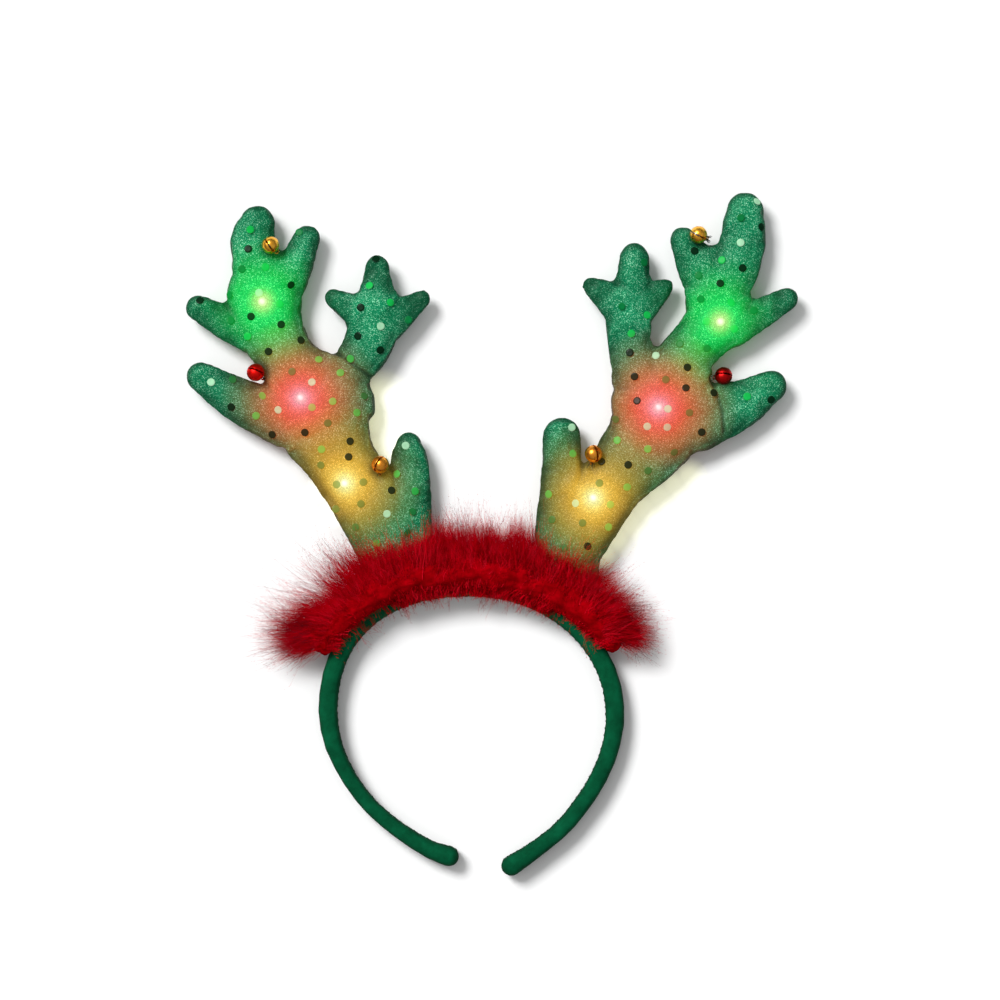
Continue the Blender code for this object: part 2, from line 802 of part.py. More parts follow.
def make_bell(antler, row, cloth, mesh, finishes):
    name, out, up, slide, loop, roll, metal = row
    turn = Matrix.Rotation(math.radians(loop), 4, "Z") @ Matrix.Rotation(math.radians(roll), 4, "X")
    place = Matrix.Translation(bell_seat(antler, row)) @ turn
    own = mesh.copy()
    own.materials.clear()
    own.materials.append(finishes[metal])
    own.shade_smooth()
    own.set_sharp_from_angle(angle=math.radians(SHARP_ANGLE))
    bell = bpy.data.objects.new(name, own)
    bpy.context.collection.objects.link(bell)
    bell.matrix_world = place
    around = BELL_RADIUS + CLEARANCE
    neck = LOOP_DIAMETER / 2 + CLEARANCE
    profile = [point for point in ball_profile(around, BELL_GAUGE_STEPS) if point[1] < 0.0 or point[0] > neck]
    loop_end = BELL_RADIUS + LOOP_DIAMETER
    profile += [(neck, math.sqrt(around**2 - neck**2)), (neck, loop_end), (0.0, loop_end)]
    bm = bmesh.new()
    turned(bm, profile, BELL_SIDES, Matrix.Rotation(math.radians(90.0), 4, "Y"))
    gauge = as_cutter(add_object(f"{name}_gauge", bm))
    gauge.matrix_world = place
    cut(cloth, gauge, "dent under a bell")
    pellet_radius = PELLET_DIAMETER / 2
    bm = bmesh.new()
    turned(bm, ball_profile(pellet_radius, PELLET_STEPS), PELLET_SIDES)
    pellet = add_object(name.replace("bell", "pellet"), bm, finishes["steel"])
    pellet.location = bell.location - Vector((0.0, 0.0, BELL_RADIUS - BELL_WALL - pellet_radius - CLEARANCE))


def make_led(antler, row, cloth, finishes):
    name, out, up, colour = row
    spot = antler.place(out, up)
    shoulder = antler.front(spot) + LED_PROUD
    place = Vector((spot.x, spot.y, shoulder - LED_BODY))
    dome = [(LED_RADIUS * math.cos(a), LED_BODY + LED_RADIUS * math.sin(a))
            for a in (math.radians(turn) for turn in LED_ANGLES)]
    profile = [(0.0, 0.0), (LED_RADIUS, 0.0)] + dome + [(0.0, LED_BODY + LED_RADIUS)]
    bm = bmesh.new()
    turned(bm, profile, LED_SIDES)
    led = add_object(name, bm, finishes[colour])
    led.location = place
    wide = LED_RADIUS + CLEARANCE
    pocket = [(0.0, -CLEARANCE), (wide, -CLEARANCE), (wide, PALM_THICKNESS), (0.0, PALM_THICKNESS)]
    bm = bmesh.new()
    turned(bm, pocket, LED_SIDES)
    gauge = as_cutter(add_object(f"{name}_pocket", bm))
    gauge.location = place
    cut(cloth, gauge, "pocket for a light")


def main():
    clear_scene()
    finishes = {
        "gold": finish("gold", (0.80, 0.50, 0.12), 0.22, 1.0),
        "red": finish("red_metal", (0.70, 0.02, 0.02), 0.28, 1.0),
        "steel": finish("steel", (0.55, 0.55, 0.55), 0.35, 1.0),
        "green": finish("light_green", (0.55, 1.00, 0.45), 0.30, 0.0, 1.0),
        "pink": finish("light_red", (1.00, 0.45, 0.50), 0.30, 0.0, 1.0),
        "yellow": finish("light_yellow", (1.00, 0.85, 0.40), 0.30, 0.0, 1.0),
    }
    cloth_finish = finish("glitter_cloth", (0.02, 0.30, 0.14), 0.45)
    velvet_finish = finish("velvet", (0.01, 0.14, 0.06), 0.80)
    feather_finish = finish("marabou", (0.55, 0.01, 0.03), 0.90)

    run = band_run()
    gauges = make_gauges(run)
    make_headband(run, velvet_finish)
    antlers = {
        "antler_left": Antler(-1.0, LEFT_REACH, LEFT_RISE, LEFT_LIMBS),
        "antler_right": Antler(1.0, RIGHT_REACH, RIGHT_RISE, RIGHT_LIMBS),
    }
    bell_mesh = make_bell_mesh()
    for name, creases, bells, leds in (
        ("antler_left", LEFT_CREASES, LEFT_BELLS, LEFT_LEDS),
        ("antler_right", RIGHT_CREASES, RIGHT_BELLS, RIGHT_LEDS),
    ):
        antler = antlers[name]
        cloth = make_antler(name, antler, creases, gauges, cloth_finish)
        for row in bells:
            make_bell(antler, row, cloth, bell_mesh, finishes)
        for row in leds:
            make_led(antler, row, cloth, finishes)
    make_trim(run, antlers, gauges, feather_finish)


main()
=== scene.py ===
import math
import random

import bmesh
import bpy
import numpy as np
from mathutils import Matrix, Vector, noise
from mathutils.bvhtree import BVHTree


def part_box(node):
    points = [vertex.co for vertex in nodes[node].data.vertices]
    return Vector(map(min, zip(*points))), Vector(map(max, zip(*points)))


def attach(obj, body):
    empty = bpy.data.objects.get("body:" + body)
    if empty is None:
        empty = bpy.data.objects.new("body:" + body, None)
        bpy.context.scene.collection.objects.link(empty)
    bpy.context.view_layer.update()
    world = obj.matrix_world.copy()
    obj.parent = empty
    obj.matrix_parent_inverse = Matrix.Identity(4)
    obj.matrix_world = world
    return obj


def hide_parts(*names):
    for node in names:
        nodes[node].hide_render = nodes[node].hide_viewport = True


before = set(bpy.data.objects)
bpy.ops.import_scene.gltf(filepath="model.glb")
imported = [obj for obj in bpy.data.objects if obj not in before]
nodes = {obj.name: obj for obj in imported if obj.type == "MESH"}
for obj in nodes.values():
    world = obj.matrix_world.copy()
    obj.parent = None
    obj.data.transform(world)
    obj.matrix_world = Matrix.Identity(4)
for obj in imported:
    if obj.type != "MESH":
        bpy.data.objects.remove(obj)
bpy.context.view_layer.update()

mm = 0.001

# The photograph's frame: metres a pixel, and the pixel over the origin
photo = {"metresAPixel": 0.00051626, "originX": 492.0, "originY": 534.0, "size": 1000.0}


def fromPhoto(px, py, height=0.0):
    scale = photo["metresAPixel"]
    return Vector(((px - photo["originX"]) * scale, (photo["originY"] - py) * scale, height))


def middleOf(name):
    low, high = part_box(name)
    return (low + high) / 2


# Node helpers

def newMaterial(name):
    made = bpy.data.materials.new(name)
    made.use_nodes = True
    tree = made.node_tree
    return made, tree, tree.nodes["Principled BSDF"]


def addNode(tree, kind, links=(), **settings):
    node = tree.nodes.new(kind)
    for name, value in settings.items():
        setattr(node, name, value)
    for socket, value in links:
        target = node.inputs[socket]
        if isinstance(value, bpy.types.NodeSocket):
            tree.links.new(value, target)
        else:
            target.default_value = value
    return node


def maths(tree, operation, first, second=0.0):
    return addNode(tree, "ShaderNodeMath", [(0, first), (1, second)], operation=operation).outputs[0]


def vectorMaths(tree, operation, first, second):
    return addNode(tree, "ShaderNodeVectorMath", [(0, first), (1, second)], operation=operation)


def mixColour(tree, share, first, second, blend="MIX"):
    node = addNode(tree, "ShaderNodeMix", data_type="RGBA", blend_type=blend)
    factor, one, two = node.inputs["Factor"], node.inputs[6], node.inputs[7]
    for socket, value in ((factor, share), (one, first), (two, second)):
        if isinstance(value, bpy.types.NodeSocket):
            tree.links.new(value, socket)
        else:
            socket.default_value = value if socket.type == "VALUE" else (*value, 1.0)
    return node.outputs[2]


def ramp(tree, value, stops, mode="LINEAR"):
    node = addNode(tree, "ShaderNodeValToRGB", [(0, value)])
    bar = node.color_ramp
    bar.interpolation = mode
    for i, (position, colour) in enumerate(stops):
        if i < 2:
            element = bar.elements[i]
            element.position = position
        else:
            element = bar.elements.new(position)
        element.color = colour if len(colour) == 4 else (*colour, 1.0)
    return node


def grey(value):
    return (value, value, value)


def noiseAt(tree, place, scale, detail=2.0, roughness=0.5):
    links = [("Vector", place), ("Scale", scale), ("Detail", detail), ("Roughness", roughness)]
    return addNode(tree, "ShaderNodeTexNoise", links).outputs["Fac"]


def cellsAt(tree, place, scale):
    return addNode(tree, "ShaderNodeTexVoronoi", [("Vector", place), ("Scale", scale)])


def bumpFrom(tree, height, distance, strength):
    links = [("Height", height), ("Distance", distance), ("Strength", strength)]
    return addNode(tree, "ShaderNodeBump", links).outputs[0]


def here(tree):
    return addNode(tree, "ShaderNodeTexCoord").outputs["Object"]


# Mesh helpers

def linked(name, data):
    piece = bpy.data.objects.new(name, data)
    bpy.context.scene.collection.objects.link(piece)
    return piece


def onCircle(k, sides):
    turn = 2 * math.pi * k / sides
    return math.cos(turn), math.sin(turn)


# Quads between two rings of points
def joinRings(bm, low, high):
    made = []
    for k in range(len(low)):
        j = (k + 1) % len(low)
        made.append(bm.faces.new((low[k], low[j], high[j], high[k])))
    return made


def surfaceOf(piece):
    return BVHTree.FromObject(piece, bpy.context.evaluated_depsgraph_get())


# Camera, floor and light

studio = {
    "lens": 200.0,
    "sensor": 36.0,
    "focusHeight": 12 * mm,
    "floorSize": 6.0,
    "floorColour": (0.90, 0.90, 0.90),
    "skyTop": 0.53,           # straight up
    "skySide": 0.06,          # at the horizon, which darkens the rounded edges
    "softBox": 0.50,          # extra brightness around the key light
    "backdrop": 1.0,          # what the camera sees past the floor
    "keyStrength": 2.85,
    "keyAngle": 22.0,
    "keyFrom": (-0.56, 0.58, 1.0),
}


def setUpCamera():
    middle = fromPhoto(photo["size"] / 2, photo["size"] / 2, studio["focusHeight"])
    width = photo["metresAPixel"] * photo["size"]
    data = bpy.data.cameras.new("photoCamera")
    data.lens = studio["lens"]
    data.sensor_width = studio["sensor"]
    camera = linked("photoCamera", data)
    distance = width * studio["lens"] / studio["sensor"]
    camera.location = middle + Vector((0, 0, distance))
    data.clip_end = 20.0
    bpy.context.scene.camera = camera


def setUpStudio():
    scene = bpy.context.scene
    scene.view_settings.view_transform = "Standard"
    scene.view_settings.look = "None"
    world = bpy.data.worlds.new("softStudio")
    world.use_nodes = True
    scene.world = world
    tree = world.node_tree
    tree.nodes.clear()
    way = addNode(tree, "ShaderNodeTexCoord").outputs["Generated"]
    height = addNode(tree, "ShaderNodeSeparateXYZ", [(0, way)]).outputs["Z"]
    sky = ramp(tree, height, ((0.05, grey(studio["skySide"])), (0.85, grey(studio["skyTop"]))))
    facing = vectorMaths(tree, "DOT_PRODUCT", way, Vector(studio["keyFrom"]).normalized()).outputs["Value"]
    box = ramp(tree, facing, ((0.72, grey(0.0)), (0.95, grey(studio["softBox"]))))
    both = vectorMaths(tree, "ADD", sky.outputs["Color"], box.outputs["Color"]).outputs[0]
    lit = addNode(tree, "ShaderNodeBackground", [("Color", both)]).outputs[0]
    seen = addNode(tree, "ShaderNodeBackground", [("Color", (*grey(studio["backdrop"]), 1.0))]).outputs[0]
    ray = addNode(tree, "ShaderNodeLightPath").outputs["Is Camera Ray"]
    mixed = addNode(tree, "ShaderNodeMixShader", [(0, ray), (1, lit), (2, seen)]).outputs[0]
    addNode(tree, "ShaderNodeOutputWorld", [("Surface", mixed)])

    light = bpy.data.lights.new("keyLight", "SUN")
    light.energy = studio["keyStrength"]
    light.angle = math.radians(studio["keyAngle"])
    lamp = linked("keyLight", light)
    lamp.location = studio["keyFrom"]
    lamp.rotation_euler = (-Vector(studio["keyFrom"])).to_track_quat("-Z", "Y").to_euler()


# The lights shine through the cloth. Each row: millimetres from the lens, colour of the glow,
# and how much of the cloth's own colour it drowns.

glow = {
    "reach": 48 * mm,
    "green": (
        (0.0, (0.95, 1.00, 0.50), 1.0),
        (2.3, (0.72, 0.96, 0.38), 0.9),
        (4.1, (0.36, 0.88, 0.21), 0.8),
        (6.5, (0.09, 0.76, 0.11), 0.65),
        (9.0, (0.01, 0.64, 0.07), 0.5),
        (12.1, (0.0, 0.52, 0.04), 0.4),
        (16.0, (0.0, 0.41, 0.02), 0.40),
        (20.6, (0.0, 0.26, 0.008), 0.28),
        (26.0, (0.0, 0.14, 0.004), 0.12),
        (34.0, (0.0, 0.03, 0.0), 0.02),
        (44.0, (0.0, 0.0, 0.0), 0.0),
    ),
    "red": (
        (0.0, (1.00, 0.78, 0.75), 1.0),
        (1.6, (1.00, 0.53, 0.53), 0.95),
        (4.1, (0.98, 0.27, 0.31), 0.9),
        (6.5, (0.96, 0.175, 0.16), 0.85),
        (9.0, (0.89, 0.105, 0.08), 0.8),
        (12.1, (0.81, 0.08, 0.044), 0.75),
        (16.0, (0.63, 0.07, 0.02), 0.66),
        (20.6, (0.44, 0.058, 0.01), 0.55),
        (26.0, (0.27, 0.045, 0.004), 0.44),
        (32.0, (0.11, 0.015, 0.0), 0.30),
        (42.0, (0.0, 0.0, 0.0), 0.05),
        (48.0, (0.0, 0.0, 0.0), 0.0),
    ),
    "yellow": (
        (0.0, (1.00, 1.00, 0.78), 1.0),
        (2.3, (1.00, 0.98, 0.50), 0.95),
        (4.1, (1.00, 0.90, 0.29), 0.9),
        (6.5, (1.00, 0.70, 0.13), 0.85),
        (9.0, (0.88, 0.52, 0.06), 0.8),
        (12.1, (0.72, 0.39, 0.026), 0.75),
        (16.0, (0.54, 0.28, 0.015), 0.68),
        (20.6, (0.36, 0.22, 0.012), 0.70),
        (26.0, (0.20, 0.13, 0.006), 0.60),
        (32.0, (0.07, 0.06, 0.001), 0.40),
        (42.0, (0.0, 0.0, 0.0), 0.05),
        (48.0, (0.0, 0.0, 0.0), 0.0),
    ),
}


def lensSpots():
    spots = []
    for name in sorted(nodes):
        if name.startswith("led_"):
            spots.append((name, name.split("_")[2], middleOf(name)))
    return spots


# Colour that the six lights add, and how much they drown
def glowOver(tree, place):
    colour, cover = None, None
    for name, hue, centre in lensSpots():
        far = vectorMaths(tree, "DISTANCE", place, centre[:]).outputs["Value"]
        share = maths(tree, "DIVIDE", far, glow["reach"])
        stops = [(d * mm / glow["reach"], (*c, a)) for d, c, a in glow[hue]]
        one = ramp(tree, share, stops)
        if colour is None:
            colour, cover = one.outputs["Color"], one.outputs["Alpha"]
        else:
            colour = mixColour(tree, 1.0, colour, one.outputs["Color"], "ADD")
            cover = maths(tree, "MAXIMUM", cover, one.outputs["Alpha"])
    return colour, cover


# Glitter cloth

glitterCloth = {
    "ground": (0.0010, 0.150, 0.056),
    "groundLight": (0.004, 0.240, 0.100),
    "fleck": (0.07, 0.50, 0.24),
    "sparkle": (0.42, 0.95, 0.62),
    # colour of the painted shade by the seam, in the creases and round the bells
    "seam": (0.0006, 0.026, 0.010),
    "fleckSize": 0.29 * mm,
    "fleckShare": 0.19,
    "threadPitch": 0.55 * mm,
    "middle": 10.0 * mm,
    # how far from the seam's mid-plane the painted shade of the rounded sides reaches
    "seamPaintedShadeReach": 7.0 * mm,
}


def makeGlitterCloth():
    made, tree, shader = newMaterial("glitterCloth")
    place = here(tree)
    cloth = glitterCloth
    cells = cellsAt(tree, place, 1 / cloth["fleckSize"])
    pick = addNode(tree, "ShaderNodeSeparateColor", [(0, cells.outputs["Color"])])
    cloud = noiseAt(tree, place, 110.0, 3.0, 0.6)
    fine = noiseAt(tree, place, 900.0, 2.0, 0.6)
    tone = maths(tree, "ADD", maths(tree, "MULTIPLY", cloud, 0.5), maths(tree, "MULTIPLY", fine, 0.5))
    ground = ramp(tree, tone, ((0.35, cloth["ground"]), (0.65, cloth["groundLight"]))).outputs["Color"]
    drift = maths(tree, "MULTIPLY", maths(tree, "SUBTRACT", cloud, 0.5), 0.25)
    wanted = maths(tree, "ADD", pick.outputs[0], drift)
    start = 1 - cloth["fleckShare"]
    bright = ramp(tree, wanted, ((start - 0.10, grey(0.0)), (start + 0.06, grey(1.0)))).outputs["Color"]
    foil = ramp(tree, wanted, ((0.88, cloth["fleck"]), (1.0, cloth["sparkle"]))).outputs["Color"]
    body = mixColour(tree, bright, ground, foil)
    # Painted shade: the cloth darkens towards the seam's mid-plane, where its rounded sides turn away from
    # the light, and where the point attribute marks painted shade in the creases and round the bells; the
    # same mask dims the glow.
    split = addNode(tree, "ShaderNodeSeparateXYZ", [(0, place)])
    off = maths(tree, "ABSOLUTE", maths(tree, "SUBTRACT", split.outputs["Z"], cloth["middle"]))
    rimPaintedShadeStops = ((0.0, grey(0.95)), (0.45, grey(0.75)), (0.75, grey(0.25)), (1.0, grey(0.0)))
    rim = ramp(tree, maths(tree, "DIVIDE", off, cloth["seamPaintedShadeReach"]), rimPaintedShadeStops).outputs["Color"]
    paintedShade = addNode(tree, "ShaderNodeAttribute", attribute_name="paintedShade").outputs["Fac"]
    clear = maths(tree, "MULTIPLY", maths(tree, "SUBTRACT", 1.0, rim), maths(tree, "SUBTRACT", 1.0, paintedShade))
    body = mixColour(tree, clear, cloth["seam"], body)
    light, cover = glowOver(tree, place)
    drowned = mixColour(tree, maths(tree, "MULTIPLY", cover, 1.12), body, grey(0.006))
    tree.links.new(drowned, shader.inputs["Base Color"])
    grainStops = ((0.0, grey(0.72)), (0.75, grey(0.98)), (1.0, grey(1.55)))
    grain = ramp(tree, pick.outputs[0], grainStops).outputs["Color"]
    shade = mixColour(tree, clear, grey(0.08), grain)
    tree.links.new(mixColour(tree, 1.0, light, shade, "MULTIPLY"), shader.inputs["Emission Color"])
    shader.inputs["Emission Strength"].default_value = 1.0
    roughStops = ((0.0, grey(0.28)), (0.6, grey(0.50)), (1.0, grey(0.68)))
    tree.links.new(ramp(tree, pick.outputs[2], roughStops).outputs["Color"], shader.inputs["Roughness"])
    shader.inputs["Specular IOR Level"].default_value = 0.08
    weave = [("Vector", place), ("Scale", 1 / cloth["threadPitch"] / 20)]
    weave += [("Distortion", 1.5), ("Detail", 1.0)]
    threads = addNode(tree, "ShaderNodeTexWave", weave, bands_direction="DIAGONAL")
    height = maths(tree, "ADD", maths(tree, "MULTIPLY", threads.outputs["Fac"], 0.4), pick.outputs[0])
    tree.links.new(bumpFrom(tree, height, 0.10 * mm, 0.7), shader.inputs["Normal"])
    return made


# Stuffed antlers: the cloth is fused from the frame's solid, blown up a little by the stuffing
# while its seam is held, and then gets the seam's groove, its puckers and the pulled creases.

stuffing = {
    "voxel": 1.5 * mm,
    "smoothing": 12,
    "keepShape": 0.85,         # how much of what the smoothing took off is put back
    "outset": 0.1 * mm,
    "pressure": 3.0,
    "slack": -0.035,
    "steps": 18,
    "mostMove": 1.5 * mm,
    "seamHold": 1.1 * mm,
    "seamDepth": 0.35 * mm,
    "seamWidth": 1.0 * mm,
    "puckerDepth": (0.14 * mm, 0.50 * mm),     # along the trunk, and at the tips
    "puckerSize": 5.5 * mm,
    "puckerReach": 5.0 * mm,
    "tipsAt": (105 * mm, 150 * mm),
    "lumpDepth": 0.12 * mm,
    "lumpSize": 11 * mm,
    "creaseDepth": 1.2 * mm,
    "creaseWidth": 0.95 * mm,
    # share of painted shade along each crease
    "creasePaintedShade": 0.50,
    "bellRadius": 4.55 * mm,
    # painted shade on the cloth round each bell: its strength, then how far it reaches
    "bellPaintedShade": 0.80,
    "bellShade": 2.4 * mm,
}

# Pixels of the photograph that each pulled crease runs through
creases = {
    "antler_left": (
        ((333, 351), (345, 358), (358, 368), (374, 380)),
    ),
    "antler_right": (
        ((711, 378), (716, 392), (722, 412), (724, 432)),
    ),
}


def copyOf(node, name):
    piece = linked(name, nodes[node].data.copy())
    piece.data.materials.clear()
    return piece


# The piece's mesh with its modifiers worked in
def applied(piece):
    view = bpy.context.evaluated_depsgraph_get()
    mesh = bpy.data.meshes.new_from_object(piece.evaluated_get(view))
    old = piece.data
    piece.modifiers.clear()
    piece.data = mesh
    bpy.data.meshes.remove(old)


def softened(piece, times):
    soften = piece.modifiers.new("soften", "SMOOTH")
    soften.factor = 0.5
    soften.iterations = times
    applied(piece)


def fusedSkin(piece, voxel, smoothing):
    modifier = piece.modifiers.new("fuse", "REMESH")
    modifier.mode = "VOXEL"
    modifier.voxel_size = voxel
    softened(piece, smoothing)


def vertexRows(mesh, what):
    flat = np.empty(len(mesh.vertices) * 3, np.float32)
    mesh.vertices.foreach_get(what, flat)
    return flat.reshape(-1, 3).astype(float)


def pointsOf(mesh):
    return vertexRows(mesh, "co")


def normalsOf(mesh):
    return vertexRows(mesh, "normal")


def setPoints(mesh, points):
    mesh.vertices.foreach_set("co", points.astype(np.float32).ravel())
    mesh.update()


def noiseOver(points, size, seed=0.0):
    shift = Vector((seed, seed * 0.37, -seed))
    return np.array([noise.noise(Vector(p) / size + shift) for p in points])


# A short cloth simulation: the stuffing presses the panels out, the seam stays where it is
def inflate(piece, middle):
    scene = bpy.context.scene
    start = pointsOf(piece.data)
    held = piece.vertex_groups.new(name="seam")
    near = np.abs(start[:, 2] - middle) < stuffing["seamHold"]
    held.add([int(i) for i in np.flatnonzero(near)], 1.0, "REPLACE")
    cloth = piece.modifiers.new("stuffing", "CLOTH")
    cloth.settings.vertex_group_mass = "seam"
    cloth.settings.use_pressure = True
    cloth.settings.uniform_pressure_force = stuffing["pressure"]
    cloth.settings.shrink_min = stuffing["slack"]
    cloth.settings.quality = 6
    cloth.settings.effector_weights.gravity = 0.0
    cloth.point_cache.frame_start = 1
    cloth.point_cache.frame_end = stuffing["steps"]
    for step in range(1, stuffing["steps"] + 1):
        scene.frame_set(step)
    blown = bpy.data.meshes.new_from_object(piece.evaluated_get(bpy.context.evaluated_depsgraph_get()))
    moved = pointsOf(blown) - start
    bpy.data.meshes.remove(blown)
    piece.modifiers.clear()
    length = np.linalg.norm(moved, axis=1)
    keep = np.minimum(1.0, stuffing["mostMove"] / np.maximum(length, 1e-9))
    print("  stuffing moved the cloth", round(float(length.mean()) / mm, 2), "mm on average,",
          round(float(length.max()) / mm, 2), "mm at most")
    setPoints(piece.data, start + moved * keep[:, None])
    piece.vertex_groups.clear()
    scene.frame_set(1)


# How far each point lies from a run in the XY plane
def distanceToRun(points, run):
    nearest = np.full(len(points), 1e9)
    for a, b in zip(run, run[1:]):
        a, b = np.array(a[:2]), np.array(b[:2])
        along = b - a
        share = np.clip(((points[:, :2] - a) @ along) / (along @ along), 0.0, 1.0)
        nearest = np.minimum(nearest, np.linalg.norm(points[:, :2] - a - share[:, None] * along, axis=1))
    return nearest


# The seam's groove and puckers, the creases that pull the front in, and the painted shade in the creases and
# round the bells
def sewDetails(piece, node, middle):
    mesh = piece.data
    points, normals = pointsOf(mesh), normalsOf(mesh)
    off = np.abs(points[:, 2] - middle)
    push = -stuffing["seamDepth"] * np.exp(-(off / stuffing["seamWidth"]) ** 2)
    ripple = noiseOver(points * np.array([1.0, 1.0, 0.25]), stuffing["puckerSize"], 3.0)
    trunkEnd, tipStart = stuffing["tipsAt"]
    tips = np.clip((points[:, 1] - trunkEnd) / (tipStart - trunkEnd), 0, 1)
    plain, gathered = stuffing["puckerDepth"]
    push += (plain + (gathered - plain) * tips) * ripple * np.exp(-(off / stuffing["puckerReach"]) ** 2)
    push += stuffing["lumpDepth"] * noiseOver(points, stuffing["lumpSize"], 8.0)
    paintedShade = np.zeros(len(points))
    for crease in creases[node]:
        run = [fromPhoto(px, py) for px, py in crease]
        far = distanceToRun(points, run)
        front = np.clip((points[:, 2] - middle) / (3 * mm), 0.0, 1.0)
        wide = stuffing["creaseWidth"]
        push -= front * stuffing["creaseDepth"] * np.exp(-(far / wide) ** 2)
        push += front * 0.35 * stuffing["creaseDepth"] * np.exp(-((far - 2.6 * wide) / (1.3 * wide)) ** 2)
        # painted shade along the crease, kept in a point attribute for the cloth's colour
        paintedShade = np.maximum(paintedShade, front * stuffing["creasePaintedShade"] * np.exp(-(far / wide) ** 2))
    # painted shade on the cloth round each bell
    for name in nodes:
        if name.startswith("bell_"):
            room = np.linalg.norm(points - np.array(middleOf(name)), axis=1) - stuffing["bellRadius"]
            near = np.clip(room / stuffing["bellShade"], 0.0, None)
            paintedShade = np.maximum(paintedShade, stuffing["bellPaintedShade"] * np.exp(-near ** 2))
    points += normals * push[:, None]
    points[:, 2] = np.maximum(points[:, 2], 0.05 * mm)
    setPoints(mesh, points)
    mesh.attributes.new("paintedShade", "FLOAT", "POINT").data.foreach_set("value", paintedShade.astype(np.float32))


# Puts back most of what fusing and smoothing took off the tips
def keepShape(piece, node):
    solid = BVHTree.FromPolygons([v.co for v in nodes[node].data.vertices],
                                 [p.vertices for p in nodes[node].data.polygons])
    points = pointsOf(piece.data)
    nearest = np.array([solid.find_nearest(Vector(p))[0] for p in points])
    setPoints(piece.data, points + (nearest - points) * stuffing["keepShape"])
    softened(piece, 2)


def makeAntler(node, name, material):
    piece = copyOf(node, name)
    middle = glitterCloth["middle"]
    fusedSkin(piece, stuffing["voxel"], stuffing["smoothing"])
    keepShape(piece, node)
    setPoints(piece.data, pointsOf(piece.data) + normalsOf(piece.data) * stuffing["outset"])
    inflate(piece, middle)
    piece.modifiers.new("finer", "SUBSURF").levels = 1
    piece.modifiers["finer"].render_levels = 1
    applied(piece)
    sewDetails(piece, node, middle)
    piece.data.materials.append(material)
    piece.data.shade_smooth()
    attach(piece, "root")
    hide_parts(node)
    print(name, "stuffed and sewn,", len(piece.data.polygons), "faces")
    return piece


# Sequins: flat foil dots in loose rows on both faces of the cloth

sequins = {
    "radius": 2.05 * mm,
    "thick": 0.16 * mm,
    "lift": 0.28 * mm,
    "pitchAcross": 13.2 * mm,
    "pitchUp": 12.2 * mm,
    "jitter": 2.3 * mm,
    "tilt": 7.0,
    "sides": 16,
    "edgeRoom": 0.35,          # least up-facing share of the normal
    "mostDrop": 2.6 * mm,      # how far the cloth may fall away under a dot
    "mostSink": 0.35 * mm,     # how far it may rise past it
    "lensRoom": 4.0 * mm,
    "bellRoom": 5.6 * mm,
    "turn": {"antler_left": -11.0, "antler_right": 14.0},
    "seed": 41,
    # The kinds are one green foil in lit and shaded copies: the pale kind is a painted reflection, and the
    # middle and dark kinds are painted shade that also show less of the glow.
    "kinds": (                 # name, share of all, colour, roughness, how much of the glow it shows
        ("sequinPaintedReflection", 0.13, (0.42, 0.80, 0.50), 0.25, 0.55),
        ("sequinBright", 0.30, (0.008, 0.52, 0.085), 0.28, 0.60),
        ("sequinPaintedHalfShade", 0.30, (0.002, 0.19, 0.045), 0.30, 0.40),
        ("sequinPaintedShade", 0.27, (0.0006, 0.022, 0.007), 0.25, 0.07),
    ),
}


def makeSequinFinish(name, colour, roughness, lit):
    made, tree, shader = newMaterial(name)
    place = here(tree)
    light, cover = glowOver(tree, place)
    mottle = noiseAt(tree, place, 420.0, 2.0)
    own = mixColour(tree, mottle, colour, tuple(c * 0.60 for c in colour))
    drowned = mixColour(tree, maths(tree, "MULTIPLY", cover, 0.45), own, grey(0.01))
    tree.links.new(drowned, shader.inputs["Base Color"])
    shown = mixColour(tree, 1.0, light, (1.0, 1.0, 0.7), "MULTIPLY")
    tree.links.new(shown, shader.inputs["Emission Color"])
    shader.inputs["Emission Strength"].default_value = lit
    shader.inputs["Roughness"].default_value = roughness
    shader.inputs["Specular IOR Level"].default_value = 0.06
    tree.links.new(bumpFrom(tree, noiseAt(tree, place, 700.0), 0.05 * mm, 0.5), shader.inputs["Normal"])
    return made


